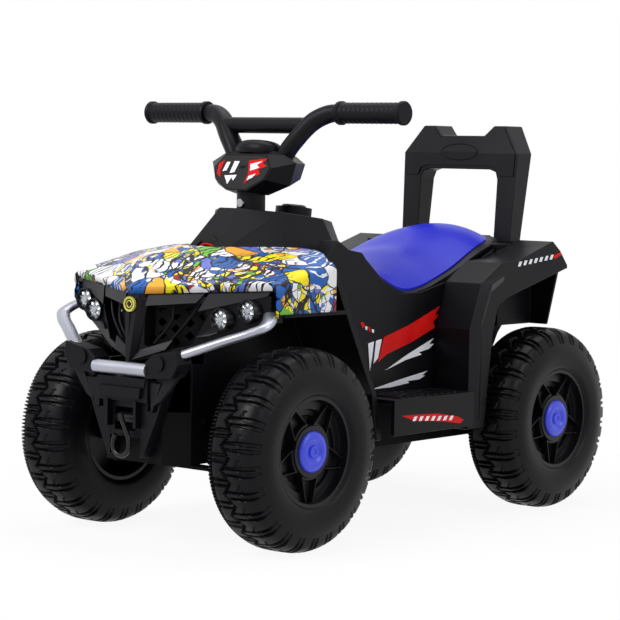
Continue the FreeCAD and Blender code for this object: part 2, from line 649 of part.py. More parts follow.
def body_side(inset):
    """Side outline of the centre body, drawn in by inset all round; below the pan's rim when drawn in."""
    gap = size.shield_thick + size.seat_gap + inset
    top = console_base_z - inset
    foot = pan_top - inset
    rear = body_rear - inset
    low = deck_low - inset
    trough = trough_outline(-inset)
    return [
        (shield_line(pan_top) + gap, foot), (shield_line(sill_z) + gap, sill_z),
        (shield_line(top) + gap, top), *trough[bool(inset):],
        (rear, low), (rear, low - size.rear_wall),
        (rear - size.arch_step, low - size.rear_wall - size.arch_step),
        (rear - 2 * size.arch_step, foot),
    ]


def build_body():
    """Centre body: a hollow spine with flat sides, a trough for the seat and two front shoulders."""
    top = console_base_z
    wall = size.body_wall
    hull = prism_x(body_side(0), -body_half, body_half)
    hull = hull.cut(prism_x(body_side(wall), wall - body_half, body_half - wall))
    high = size.shoulder_high
    bump = prism_x([
        (seat_front_y - 3.4 * high, top), (seat_front_y - 2.3 * high, top + high),
        (seat_front_y - 1.4 * high, top + high / 2), (seat_front_y - high / 3, top + high / 3),
        (seat_front_y, top),
    ], body_half - size.shoulder_wide, body_half)
    hull = hull.multiFuse([bump, mirrored(bump)]).removeSplitter()
    column_hole = Part.makeCylinder(size.column_dia / 2 + size.swing_gap, top, spot(0, column_y, pan_top))
    add_shape("centre_body", hull.cut(column_hole))


SEAT_STEPS = 8
# Along the seat: share of its length, width, edge height as a share of the climb to the deck, crown rise
SEAT_LINE = [
    (0.03, 0.90, 0.67, 0.2), (0.14, 0.97, 0.29, 0.43), (0.27, 1.0, 0.0, 0.93), (0.4, 1.0, 0.06, 1.04),
    (0.5, 0.99, 0.2, 1.04), (0.61, 0.98, 0.4, 0.86), (0.72, 0.95, 0.67, 0.71), (0.8, 0.9, 0.86, 0.61),
    (0.88, 0.83, 0.97, 0.55), (0.96, 0.62, 1.02, 0.5), (1.0, 0.45, 1.02, 0.36),
]


def seat_ring(share, width, climb, rise):
    """Cross section of the seat: parabolic top and underside between thin upright edges."""
    y = seat_front_y + share * size.seat_long
    half = (body_half - size.seat_inset) * width
    edge = size.seat_skin / 3
    low = trough_z + size.swing_gap + edge
    high = deck_z + size.seat_gap + edge
    level = low + climb * (high - low)
    crown = rise * size.seat_rise
    across = [1 - 2 * index / SEAT_STEPS for index in range(SEAT_STEPS + 1)]
    top = [spot(half * v, y, level + crown * (1 - v * v)) for v in across]
    hollow = crown - size.seat_skin + edge
    under = [spot(half * v, y, level - edge + hollow * (1 - v * v)) for v in reversed(across)]
    return top + under


def build_seat():
    """Saddle: rings along its length, low at the middle of its sides and rising to the rear."""
    gap = size.seat_gap
    footprint = [(point.x, point.y) for point in console_ring(trough_z, gap, True)]
    console = prism_z(footprint, trough_z, console_top_z)
    deck_room = block(-fender_half, fender_half, deck_front - gap, pan_rear_y, trough_z, deck_z + gap)
    saddle = faceted([seat_ring(*place) for place in SEAT_LINE])
    add_shape("seat", saddle.cut(console).cut(deck_room))


# Front fender, hood and console

def build_front_fender():
    """Inner wheel houses, the deck under the hood and the sloping leg shields, in one moulding."""
    gap = size.seat_gap
    front = pan_front_y + size.lip_setback + gap
    deck_top = hood_skirt_z - gap
    deck_bottom = deck_top - size.fender_deck_thick
    outer = pan_front_half
    top = console_base_z
    cross_top = top - 2 * size.hood_skin
    brow = fascia_line(outer) + size.fascia_thick + gap
    chin = fascia_nose_z - gap
    thick = size.shield_thick
    lap = thick / 2
    house = [
        (front, pan_top), (front, chin), (brow, chin), (brow, deck_top), (console_front_y, deck_top),
        (console_front_y, cross_top), (shield_line(cross_top) + lap, cross_top),
        (shield_sill_y + lap, sill_z), (shield_line(pan_top) + lap, pan_top),
    ]
    wall = prism_x(house, outer - size.fender_wall, outer)
    cross = block(-outer, outer, console_front_y, console_front_y + size.fender_wall, deck_bottom, cross_top)
    half = shield_half
    behind = size.fascia_thick + gap
    deck_rear = shield_line(deck_bottom) + lap
    deck = prism_z(full_width([
        (0, fascia_line(0) + behind), (half, fascia_line(half) + behind), (half, deck_rear), (0, deck_rear),
    ]), deck_bottom, deck_top)
    levels = (fender_foot_z, sill_z, top - size.hood_skin)
    strip = [(shield_line(z), z) for z in levels] + [(shield_line(z) + thick, z) for z in reversed(levels)]
    shield = prism_x(strip, -half, half)
    pan_room = block(-pan_half - gap, pan_half + gap, nose_y, rear_y, 0, pan_top)
    fender = deck.multiFuse([wall, mirrored(wall), cross, shield.cut(pan_room)]).removeSplitter()
    column_hole = Part.makeCylinder(size.column_dia / 2 + size.swing_gap, top, spot(0, column_y, pan_top))
    add_shape("front_fender", fender.cut(column_hole))


def lip_point(x):
    """Front edge of the hood at a distance from the middle, as (y, z)."""
    share = x / size.hood_corner
    return nose_y + size.lip_setback + share * size.lip_sweep, lip_z + share * size.lip_corner_rise


def hood_stations():
    """Half of the hood from the middle out: (x, crest y, crest z, rear y, rear z)."""
    gap = size.seat_gap + size.swing_gap
    fall = size.hood_fall
    flank = size.hood_corner - console_half
    rear_z = hood_rear_z
    crest_z = rear_z - size.hood_dip
    brow_y = console_front_y - size.hood_brow
    middle_rear = console_front_y - gap
    hip_rear = column_y - 0.05 * size.console_long - gap
    corner_rear = shield_head_y - gap
    return [
        (0, brow_y, crest_z, middle_rear, rear_z),
        (0.36 * console_half, brow_y, crest_z, middle_rear, rear_z),
        (0.85 * console_half, front_y - size.hood_brow / 2, crest_z, hip_rear, rear_z - fall / 10),
        (console_half + 0.16 * flank, front_y - size.hood_brow / 8, crest_z, column_y, rear_z - fall / 5),
        (console_half + 0.6 * flank, front_y, crest_z - fall / 2, column_y - fall, rear_z - fall / 2),
        (size.hood_corner, front_y, crest_z - fall, corner_rear, rear_z - 1.2 * fall),
        (size.hood_wide / 2, front_y, crest_z - 1.6 * fall, corner_rear, rear_z - 2 * fall),
    ]


def hood_ring(station, drop, past, x):
    """Side outline of the hood at one station, lowered by drop and run on past both ends."""
    station_x, crest_y, crest_z, end_y, end_z = station
    edge_y, edge_z = lip_point(min(station_x, size.hood_corner))
    front_slope = (crest_z - edge_z) / (crest_y - edge_y)
    rear_slope = (end_z - crest_z) / (end_y - crest_y)
    bottom = hood_skirt_z - drop
    front = spot(x, edge_y - past, edge_z - drop - past * front_slope)
    rear = spot(x, end_y + past, end_z - drop + past * rear_slope)
    return [
        spot(x, front.y, bottom), front, spot(x, crest_y, crest_z - drop), rear, spot(x, rear.y, bottom),
    ]


def hood_half(inset, drop, past):
    """Solid under the left half of the hood's top, from the middle line to the flank."""
    stations = hood_stations()
    rings = [hood_ring(station, drop, past, station[0]) for station in stations[:-1]]
    rings.append(hood_ring(stations[-1], drop, past, stations[-1][0] - inset))
    return faceted(rings)


def build_hood():
    """Printed hood: one thin moulding with a swept front lip, side crests and flanks."""
    skin = size.hood_skin
    left = hood_half(0, 0, 0).cut(hood_half(skin, skin, OVERCUT))
    add_shape("hood", left.fuse(mirrored(left)).removeSplitter())


# Half plans of the console, as shares of its half width and its length
CONSOLE_BASE = [(0.35, 0), (0.84, 0.42), (1, 0.83), (0.7, 1)]
CONSOLE_TOP = [(0.2, 0.27), (0.7, 0.43), (0.76, 0.77), (0.49, 0.97)]
console_edge_y = console_front_y + size.console_brow
console_slope = size.console_fall / (0.8 * size.console_long)


def console_ring(z, grow, base):
    """Plan ring of the console at its base or, when base is false, on its sloping top."""
    plan = CONSOLE_BASE if base else CONSOLE_TOP
    fall = 0 if base else console_slope
    ring = []
    for across, back in full_width(plan):
        x = console_half * across + grow * math.copysign(1, across)
        y = console_front_y + size.console_long * back + grow * math.copysign(1, back - 0.55)
        ring.append(spot(x, y, z - fall * (y - console_edge_y)))
    return ring


def console_top_at(y):
    """Height of the console's sloping top at a place along the bike."""
    return console_top_z - console_slope * (y - console_edge_y)


boss_y = column_y + size.boss_back
rocker_x = 0.46 * console_half
boss_tilt = math.degrees(math.atan(console_slope))


def on_console(x, y, lift):
    """Place on the console's top, turned so that its own Z stands square to the slope."""
    turn = FreeCAD.Rotation(ALONG_X, -boss_tilt)
    foot = spot(x, y, console_top_at(y))
    return FreeCAD.Placement(foot + turn.multVec(ALONG_Z) * lift, turn)


def build_console():
    """Faceted console with an arched vent in front, holes for the stem, the button and the rocker."""
    wall = size.console_wall
    base = console_base_z
    outer = faceted([console_ring(base, 0, True), console_ring(console_top_z, 0, False)])
    inner = faceted([
        console_ring(base - wall, -wall, True), console_ring(console_top_z - wall, -wall, False),
    ])
    stem_hole = Part.makeCylinder(size.stem_dia / 2 + size.swing_gap, console_top_z,
                                  spot(0, column_y, base + wall))
    front = console_front_y - wall
    arch_half = 0.19 * console_half
    arch_low = base + wall
    arch_z = arch_low + arch_half / 3
    deep = CONSOLE_TOP[0][1] * size.console_long + 2 * wall
    vent = block(-arch_half, arch_half, front, front + deep, arch_low, arch_z)
    vent = vent.fuse(Part.makeCylinder(arch_half, deep, spot(0, front, arch_z), ALONG_Y))
    below = -3 * wall
    button_hole = Part.makeCylinder(size.start_dia / 2 + size.seat_gap, 6 * wall, spot(0, 0, below))
    button_hole.Placement = on_console(0, boss_y, 0)
    wide = size.rocker_wide + 2 * size.swing_gap
    long = size.rocker_long + 2 * size.swing_gap
    rocker_hole = block(-wide / 2, wide / 2, -long / 2, long / 2, below, -below)
    rocker_hole.Placement = on_console(-rocker_x, column_y + size.rocker_back, 0)
    add_shape("dash_console", outer.cut(inner).cut(stem_hole).cut(vent).cut(button_hole).cut(rocker_hole))


def build_dash_controls():
    """Collar on the console with the start button in it, and the direction rocker beside the stem."""
    ring = Part.makeCylinder(size.boss_ring_dia / 2, size.boss_ring_high)
    ring = ring.cut(Part.makeCylinder(size.start_dia / 2 + size.run_gap, size.boss_ring_high))
    collar = add_shape("dash_boss", ring)
    collar.Placement = on_console(0, boss_y, 0)
    tall = size.boss_ring_high + size.start_rise
    button = Part.makeCylinder(size.start_dia / 2, tall)
    rim = [edge for edge in button.Edges if edge.CenterOfMass.z > size.boss_ring_high]
    start = add_shape("start_button", button.makeChamfer(size.start_rise / 2, rim))
    start.Placement = on_console(0, boss_y, 0)
    half = size.rocker_long / 2
    high = size.rocker_high
    rocker = prism_x([
        (-half, 0), (-half, high / 2), (0, high / 4), (half, high), (half, 0), (0, -high / 2),
    ], -size.rocker_wide / 2, size.rocker_wide / 2)
    switch = add_shape("direction_switch", rocker)
    switch.Placement = on_console(-rocker_x, column_y + size.rocker_back, 0)


# Fascia, lamps and grille

fascia_angle = math.degrees(math.atan2(size.lip_sweep, size.hood_corner))
fascia_y = nose_y + size.lip_setback + size.swing_gap


def fascia_line(x):
    """Front face of the fascia at a distance from the middle."""
    return fascia_y + abs(x) * size.lip_sweep / size.hood_corner


def lamp_places():
    """Foot and outward direction of each lamp: two on each flank."""
    places = []
    for way in SIDES.values():
        out = spot(way * math.sin(math.radians(fascia_angle)), -math.cos(math.radians(fascia_angle)), 0)
        for x, z in ((size.lamp_inner_x, lamp_inner_z), (size.lamp_outer_x, lamp_outer_z)):
            places.append((spot(way * x, fascia_line(x), z), out))
    return places


grille_top_z = lip_z - 4 * size.hood_skin


def grille_outline(grow):
    """Front outline of one grille opening, from the nose ridge to the lamp flank."""
    low = fascia_nose_z
    high = grille_top_z - low
    reach = size.lamp_inner_x - size.lamp_dia
    return [
        (size.nose_half - grow, grille_top_z + grow),
        (reach + grow, grille_top_z + 0.06 * high + grow),
        (reach + 0.08 * high + grow, grille_top_z - 0.16 * high),
        (0.84 * reach, low + 0.33 * high - grow),
        (0.4 * reach, low + 0.19 * high - grow),
        (size.nose_half - grow, low + 0.3 * high - grow),
    ]


def fascia_slab(front, deep):
    """Plan wedge along both flanks, starting front behind the face and deep thick."""
    half = size.fascia_half
    return prism_z(full_width([
        (0, fascia_line(0) + front), (half, fascia_line(half) + front),
        (half, fascia_line(half) + front + deep), (0, fascia_line(0) + front + deep),
    ]), 0, back_z)


def across_front(outline):
    """Front outline of (x, z) points run through the whole depth of the fascia."""
    return prism_y(outline, nose_y, front_y + size.fascia_half)


def build_fascia():
    """Swept fascia with a nose ridge, two grille openings, lamp pockets and sockets for the side bars."""
    half = size.fascia_half
    low = fascia_nose_z
    top = lip_z - size.hood_skin - size.lip_gap
    corner = top + size.lip_corner_rise * half / size.hood_corner
    high = top - low
    fascia = fascia_slab(0, size.fascia_thick).common(across_front(full_width([
        (0, top), (half, corner), (half, lamp_outer_z - size.lamp_dia / 2),
        (size.lamp_inner_x, low + 0.4 * high), (0.4 * half, low + 0.16 * high), (0, low),
    ])))
    opening = across_front(grille_outline(0))
    fascia = fascia.cut(opening).cut(mirrored(opening))
    nose = size.nose_half
    tip_y = fascia_y - size.nose_proud
    ridge = faceted([
        [spot(-wide, fascia_line(nose), z), spot(0, tip_y, z), spot(wide, fascia_line(nose), z),
         spot(0, fascia_y + size.fascia_thick, z)]
        for z, wide in ((top, nose), (low, nose / 2))
    ])
    fascia = fascia.fuse(ridge)
    for foot, out in lamp_places():
        fascia = fascia.cut(Part.makeCylinder(size.lamp_dia / 2 + size.press_gap, 2 * size.lamp_depth,
                                              foot - out * size.lamp_depth, out))
    badge_room = Part.makeCylinder(size.badge_dia / 2 + size.press_gap, size.fascia_thick,
                                   spot(0, tip_y + size.badge_thick, badge_z), -ALONG_Y)
    foot, knee, tip = side_bar_points()
    add_shape("front_fascia", fascia.cut(badge_room).cut(bar_socket(tip, knee)).removeSplitter())


def build_grille():
    """Diamond mesh behind both grille openings."""
    low = fascia_nose_z
    mesh = fascia_slab(size.fascia_thick - size.mesh_thick, size.mesh_thick)
    mesh = mesh.common(across_front(grille_outline(-size.seat_gap)))
    pitch = size.mesh_hole + size.mesh_bar
    reach = size.mesh_hole / 2
    holes = []
    for column in range(int((size.lamp_inner_x - size.nose_half) / pitch)):
        for row in range(int((grille_top_z - low) / pitch)):
            x = size.nose_half + (column + 0.5) * pitch
            z = low + (row + (0.5 if column % 2 else 1.0)) * pitch
            holes.append(across_front([(x - reach, z), (x, z + reach), (x + reach, z), (x, z - reach)]))
    inside = across_front(grille_outline(-size.mesh_bar))
    mesh = mesh.cut(inside.common(Part.makeCompound(holes)))
    add_shape("grille_mesh", Part.makeCompound([mesh, mirrored(mesh)]))


def build_lamps():
    """Four lamp cups with lenses, and the ring badge on the nose."""
    bezels = []
    lenses = []
    inside = size.lamp_dia / 2 - size.lamp_wall
    for foot, out in lamp_places():
        cup = Part.makeCylinder(size.lamp_dia / 2, size.lamp_depth, foot - out * size.lamp_depth, out)
        seat = Part.makeCylinder(inside, size.lamp_depth, foot - out * 2 * size.lens_thick, out)
        bezels.append(cup.cut(seat))
        lens_r = inside - size.press_gap
        lenses.append(Part.makeCylinder(lens_r, size.lens_thick, foot - out * size.lens_thick, out))
    add_shape("headlight_bezels", Part.makeCompound(bezels))
    add_shape("headlight_lenses", Part.makeCompound(lenses))
    badge = turned_body("nose_badge", [
        ("0", "0"), ("0", "Sizes.badge_dia / 2"), ("Sizes.badge_thick", "Sizes.badge_dia / 2"),
        ("Sizes.badge_thick", "Sizes.badge_dia / 2 - Sizes.mesh_thick"),
        ("Sizes.badge_thick / 2", "Sizes.badge_dia / 2 - Sizes.mesh_thick"), ("Sizes.badge_thick / 2", "0"),
    ])
    badge.Placement.Rotation = FreeCAD.Rotation(ALONG_Z, -90)
    nose_tip = f"{FRONT_Y} - Sizes.front_reach + Sizes.lip_setback + Sizes.swing_gap - Sizes.nose_proud"
    place_body(badge, "0", f"{nose_tip} + Sizes.badge_thick", "Sizes.tyre_dia / 2 + Sizes.badge_rise")
    keep(badge, "nose_badge")


# Bumper and winch

bar_y = nose_y + size.bar_dia / 2
housing_front = nose_y + size.bar_dia / 2 - size.cap_disc_thick
chin_low = bar_z - size.housing_high / 2 - size.chin_high


def side_bar_points():
    """Line of the left side bar: from the housing out round the lamp flank to the fascia's corner."""
    thick = size.side_bar_dia
    start_x = size.housing_gap / 2 + size.housing_wide - thick / 2
    return [
        spot(start_x, bar_y + 0.6 * thick, bar_z + 1.2 * thick),
        spot(size.hood_corner + thick / 3, bar_y + 3.8 * thick, bar_z + 3.3 * thick),
        spot(size.fascia_half - thick / 8, bar_y + 5.6 * thick, bar_z + 4.2 * thick),
    ]


def bar_socket(foot, toward):
    """Straight hole for one end of the left side bar, with the one for the right bar."""
    radius = size.side_bar_dia / 2 + size.press_gap
    hole = Part.makeCylinder(radius, (toward - foot).Length, foot, toward - foot)
    return hole.fuse(mirrored(hole))


def build_bumper():
    """Bumper frame with its two housings, chin and skid plates, three bright bars and two caps."""
    inner = size.housing_gap / 2
    wide = size.housing_wide
    outer = inner + wide
    z = bar_z
    half = size.housing_high / 2
    housing = prism_y([
        (inner, z - half), (inner, z + half), (inner + 0.25 * wide, z + 2 * half),
        (outer, z + 2.8 * half), (outer + half / 3, z + half), (outer - 0.15 * wide, z - 0.7 * half),
    ], housing_front, housing_front + size.housing_deep)
    chin_front = housing_front + half / 2
    chin = block(-inner, inner, chin_front, pan_front_y, chin_low, z - half - size.swing_gap)
    skid_in = size.fairlead_wide / 2 + size.seat_gap
    foot = pan_z + half
    skid = prism_y([
        (inner - half, z), (inner + 0.65 * wide, z), (inner + half, chin_low - 2 * half),
        (skid_in + half / 2, foot), (skid_in, foot), (skid_in, chin_low),
    ], pan_front_y - size.fairlead_deep, pan_front_y)
    slot = prism_y([
        (inner, z - 2 * half), (inner + 0.4 * wide, z - 2 * half), (inner + half, chin_low - half),
        (inner - half / 2, chin_low - half),
    ], nose_y, pan_front_y - size.fairlead_deep / 3)
    skid = skid.cut(slot)
    foot, knee, tip = side_bar_points()
    frame = chin.multiFuse([housing, mirrored(housing), skid, mirrored(skid)]).removeSplitter()
    add_shape("bumper_frame", frame.cut(bar_socket(foot, knee)))
    left = pipe([foot, knee, tip], size.side_bar_dia / 2, size.side_bar_dia)
    front = Part.makeCylinder(size.bar_dia / 2, size.housing_gap, spot(-inner, bar_y, z), ALONG_X)
    add_shape("bumper_bars", Part.makeCompound([front, left, mirrored(left)]))
    cap_x = inner + 0.45 * wide
    cap_r = size.cap_disc_dia / 2
    spots = [spot(way * cap_x, housing_front, z + half) for way in SIDES.values()]
    caps = [Part.makeCylinder(cap_r, size.cap_disc_thick, place, -ALONG_Y) for place in spots]
    add_shape("bumper_caps", Part.makeCompound(caps))


def build_winch():
    """Fairlead frame on the pan's front wall, the drum across it and the flat hook below."""
    back = pan_front_y
    deep = size.fairlead_deep
    half = size.fairlead_wide / 2
    top = chin_low - size.seat_gap
    low = top - size.fairlead_high
    bar = size.fairlead_bar
    frame = block(-half, half, back - deep, back, low, top)
    window = block(bar - half, half - bar, back - deep, back, low + bar, top - bar)
    add_shape("winch_fairlead", frame.cut(window))
    middle = back - deep / 2
    drum_z = (low + top) / 2
    add_shape("winch_drum", Part.makeCylinder(size.drum_dia / 2, 2 * (half - bar),
                                              spot(bar - half, middle, drum_z), ALONG_X))
    thick = size.hook_dia
    loop = size.hook_loop
    hook_rear = back - deep - size.seat_gap
    hook_front = hook_rear - thick
    loop_z = low - loop
    ring = Part.makeCylinder(loop + thick / 2, thick, spot(0, hook_front, loop_z), ALONG_Y)
    ring = ring.cut(Part.makeCylinder(loop - thick / 2, thick, spot(0, hook_front, loop_z), ALONG_Y))
    ring = ring.cut(block(loop / 4, 2 * loop, hook_front, hook_rear, loop_z, loop_z + loop))
    shank = block(-thick / 2, thick / 2, hook_front, hook_rear, low - thick / 2, low + size.hook_drop)
    add_shape("winch_hook", ring.fuse(shank).removeSplitter())


# Rear fender, footboards, pedal and backrest

def arch_line(inset):
    """Side line of the rear fender from the leg's foot over the wheel to the tail, drawn in by inset."""
    foot = leg_y
    tail = body_rear + size.tail_reach
    long = tail - foot
    top = deck_z
    high = top - fender_foot_z
    return [
        (foot + inset, fender_foot_z), (foot + 0.02 * long + inset, top - 0.45 * high),
        (foot + 0.11 * long + 0.7 * inset, top - 0.2 * high - 0.5 * inset),
        (foot + 0.31 * long, top - 0.09 * high - inset), (foot + 0.5 * long, top - 0.075 * high - inset),
        (tail - 0.16 * long, top + 0.02 * high - inset), (tail - 0.08 * long, top - 0.035 * high - inset),
        (tail, top - 0.12 * high - inset),
    ]


def build_rear_fender():
    """Deck between two flared arches, each with an outer band, a front leg, a wheel house and a mud flap."""
    half = fender_half
    inner = body_half + size.seat_gap
    skin = size.fender_skin
    top = deck_z
    low = fender_foot_z
    foot = leg_y
    tail = body_rear + size.tail_reach
    long = tail - foot
    high = top - low
    shell = prism_x(arch_line(0) + arch_line(skin)[::-1], inner, half)
    band = prism_x(arch_line(0) + [
        (tail - 0.01 * long, top - 0.14 * high), (foot + 0.4 * long, top - 0.28 * high),
        (foot + 0.28 * long, top - 0.33 * high), (foot + 0.24 * long, top - 0.46 * high),
        (foot + 0.2 * long, top - 0.74 * high), (foot + size.leg_wide, low),
    ], half - skin, half)
    flap_rear = tail - skin
    flap_top = top - 0.1 * high
    flap_low = axle_z + tyre_r + size.swing_gap
    flap = prism_y([
        (inner, flap_low), (inner, flap_top), (half - skin, flap_top), (half - 2 * skin, top - 0.16 * high),
        (half - 5 * skin, flap_low),
    ], flap_rear - size.flap_thick, flap_rear)
    house = prism_x([
        (deck_front, top - skin / 2), (tail - 0.16 * long, top - skin / 2), (flap_rear, flap_top),
        (flap_rear, flap_low), (deck_front, flap_low),
    ], inner, inner + skin)
    side = shell.multiFuse([band, flap, house])
    deck = block(-inner - skin, inner + skin, deck_front, tail - 0.02 * long, deck_low, top)
    add_shape("rear_fender", deck.multiFuse([side, mirrored(side)]).removeSplitter())


pedal_y = shield_foot_y + size.pedal_back
pedal_z = board_z + size.pedal_pin_dia + size.swing_gap


def board_ribs(front, rear, first_y):
    """Low grip ribs across a footboard, from first_y back."""
    margin = 2 * size.board_thick
    pitch = (rear - front) / 12
    ribs = []
    for index in range(2, 11):
        y = front + index * pitch
        if y > first_y:
            ribs.append(block(body_half + margin, board_half - margin, y - pitch / 6, y + pitch / 6,
                              board_z - size.rib_rise, board_z + size.rib_rise))
    return ribs


def pedal_ears():
    """Two ears and the pin between them that carry the pedal on the right footboard."""
    skin = size.board_thick
    reach = size.pedal_wide / 2 + size.seat_gap
    pieces = [Part.makeCylinder(size.pedal_pin_dia / 2, 2 * reach + skin,
                                spot(-pedal_x - reach - skin / 2, pedal_y, pedal_z), ALONG_X)]
    for ear_x in (-pedal_x - reach - skin, -pedal_x + reach):
        ear = block(ear_x, ear_x + skin, pedal_y - skin, pedal_y + skin, board_z - skin / 2, pedal_z + skin)
        pieces.append(ear)
    return pieces


def build_footboards():
    """Left and right footboards with outer skirts; the right one carries the pedal's two ears."""
    inner = body_half + size.seat_gap
    front = shield_foot_y + size.shield_thick + size.seat_gap
    rear = leg_y - size.seat_gap
    skin = size.board_thick
    plate = block(inner, board_half, front, rear, board_z - skin, board_z)
    skirt = block(board_half - skin, board_half, front, rear, board_z - size.skirt_high, board_z)
    board = plate.fuse(skirt)
    left = board.multiFuse(board_ribs(front, rear, front))
    right = mirrored(board.multiFuse(board_ribs(front, rear, pedal_y + 2 * skin))).multiFuse(pedal_ears())
    add_shape("footboard_left", left.removeSplitter())
    add_shape("footboard_right", right.removeSplitter())


def build_pedal():
    """Foot pedal: a plate with grip ribs, hinged at its rear edge on the footboard's pin."""
    half = size.pedal_wide / 2
    long = size.pedal_long
    thick = size.pedal_thick
    plate = block(-half, half, -long, 0, -thick / 2, thick / 2)
    barrel = Part.makeCylinder(size.pedal_pin_dia / 2 + thick / 2, 2 * half, spot(-half, 0, 0), ALONG_X)
    rib_half = 0.8 * half
    rib_top = thick / 2 + size.rib_rise
    ribs = [block(-rib_half, rib_half, -long * share - thick / 2, -long * share, 0, rib_top)
            for share in (0.3, 0.5, 0.7, 0.9)]
    pedal = plate.multiFuse([barrel] + ribs)
    pedal.rotate(ORIGIN, ALONG_X, -size.pedal_tilt)
    bore = Part.makeCylinder(size.pedal_pin_dia / 2 + size.run_gap, 2 * half, spot(-half, 0, 0), ALONG_X)
    item = add_shape("foot_pedal", pedal.cut(bore).removeSplitter())
    item.Placement.Base = spot(-pedal_x, pedal_y, pedal_z)


def build_backrest():
    """Backrest arch: legs that lean back, chamfered shoulders, a notch between two horns, and a window."""
    half = size.back_wide / 2
    foot_half = half - size.back_taper
    top = back_z
    low = deck_z
    shoulder = top - size.back_shoulder_drop
    notch = top - size.notch_deep
    window = top - size.back_top_bar
    bevel = size.notch_deep
    leg_x = foot_half - size.back_leg
    front = body_rear + size.back_setback
    lean = size.back_lean
    rear = front + size.back_deep
    arch = prism_y(full_width([
        (0, notch), (size.notch_half, notch), (size.notch_half + bevel, top), (size.back_horn_half, top),
        (half, shoulder), (foot_half, low), (leg_x, low), (leg_x, window - bevel),
        (leg_x - bevel / 4, window - bevel / 4), (leg_x - bevel, window), (0, window),
    ]), front - lean, rear + 4 * size.back_deep)
    side = [
        (front, low), (front + lean, shoulder), (front + 2.2 * lean, top), (rear + 3.6 * lean, top),
        (rear + 2 * lean, shoulder), (rear, low),
    ]
    back = arch.common(prism_x(side, -half, half))
    oval = spot(0, front + 1.4 * lean, window + 0.4 * size.back_top_bar)
    recess = Part.makeCylinder(size.oval_high, size.back_deep, oval, -ALONG_Y)
    stretch = FreeCAD.Matrix()
    stretch.scale(size.oval_half / size.oval_high, 1, 1)
    add_shape("backrest", back.cut(recess.transformGeometry(stretch)))


# Handlebar and pod

grip_end = size.bar_span / 2
bend_half = grip_end - size.grip_long - size.bend_setback
riser_half = size.foot_share * bend_half
grip_y = column_y + size.grip_back


def bar_points(way):
    """Line of one riser of the handlebar: from the stem's web up to the bend and out to the grip."""
    foot = spot(way * riser_half, column_y, foot_z)
    bend = spot(way * bend_half, grip_y, grip_z)
    down = (foot - bend).normalize() * size.riser_dia / 3
    return [foot + down, bend, spot(way * (grip_end - size.grip_long - size.seat_gap), grip_y, grip_z)]


def stem_web(grow):
    """Cross web of the handlebar on top of its stem, hidden in the pod."""
    half = riser_half - size.seat_gap + grow
    deep = 0.4 * size.riser_dia + grow
    top = foot_z - size.riser_dia / 3
    return block(-half, half, column_y - deep, column_y + deep, top - size.web_high - grow, top + grow)


def bar_form(grow):
    """Stem, web and both risers as one solid; grown when it is cut from the pieces round it."""
    low = console_top_at(column_y) - size.stem_drop
    stem = Part.makeCylinder(size.stem_dia / 2 + grow, column_top - low, spot(0, column_y, low))
    risers = [pipe(bar_points(way), size.riser_dia / 2 + grow, size.bend_round) for way in SIDES.values()]
    return stem.multiFuse([stem_web(grow)] + risers)


def build_handlebar():
    """Moulded handlebar: stem, two risers with thinner ends for the grips and a cross bar."""
    low = console_top_at(column_y) - size.stem_drop
    ends = [Part.makeCylinder(size.tube_dia / 2, size.grip_long - size.flange_wide + size.seat_gap,
                              spot(way * (grip_end - size.grip_long - size.seat_gap), grip_y, grip_z),
                              ALONG_X * way) for way in SIDES.values()]
    share = (cross_z - foot_z) / (grip_z - foot_z)
    cross_half = riser_half + share * (bend_half - riser_half)
    cross = Part.makeCylinder(size.cross_dia / 2, 2 * cross_half,
                              spot(-cross_half, column_y + share * size.grip_back, cross_z), ALONG_X)
    bore = Part.makeCylinder(size.column_dia / 2 + size.press_gap, column_top - low, spot(0, column_y, low))
    bolt_z = low + size.stem_drop + size.stem_bolt_dia + size.pan_wall
    bolt_bore = Part.makeCylinder(size.stem_bolt_dia / 2 + size.press_gap, size.stem_dia,
                                  spot(0, column_y, bolt_z), -ALONG_Y)
    bar = bar_form(0).multiFuse(ends + [cross]).cut(bore).cut(bolt_bore)
    add_shape("handlebar", bar.removeSplitter())
    outside = column_y - size.stem_dia / 2 - size.seat_gap
    inside = column_y - size.column_dia / 2 - size.press_gap
    bolt = Part.makeCylinder(size.stem_bolt_dia / 2, inside - outside, spot(0, inside, bolt_z), -ALONG_Y)
    head_r = 0.8 * size.stem_bolt_dia
    head = Part.makeCylinder(head_r, size.stem_bolt_dia / 2, spot(0, outside, bolt_z), -ALONG_Y)
    add_shape("stem_bolt", bolt.fuse(head))


def build_grips():
    """Two grips pushed over the bar's ends, each with an inner flange and a closed end."""
    for side, way in SIDES.items():
        start = spot(way * (grip_end - size.grip_long), grip_y, grip_z)
        out = ALONG_X * way
        sleeve = Part.makeCylinder(size.grip_dia / 2, size.grip_long, start, out)
        flange = Part.makeCylinder(size.flange_dia / 2, size.flange_wide, start, out)
        end = Part.makeCylinder(size.flange_dia / 2, size.flange_wide,
                                start + out * (size.grip_long - size.flange_wide), out)
        bore_r = size.tube_dia / 2 + size.press_gap
        bore = Part.makeCylinder(bore_r, size.grip_long - size.flange_wide, start, out)
        add_shape(f"grip_{side}", sleeve.multiFuse([flange, end]).cut(bore).removeSplitter())


# Corners of the pod's cross section from the middle out: crest, brow, side, jaw and keel
POD_ACROSS = (0.28, 0.72, 1, 0.86, 0.36)


def pod_ring(back, wide, levels, lean):
    """Cross section of the pod: its corners at levels given as shares of the pod's height, leaning back."""
    half = size.pod_half * wide
    ring = []
    for across, level in full_width(list(zip(POD_ACROSS, levels))):
        rise = size.pod_high * level
        y = column_y + back * size.pod_deep + lean * rise
        ring.append(spot(half * across, y, pod_z + rise))
    return ring


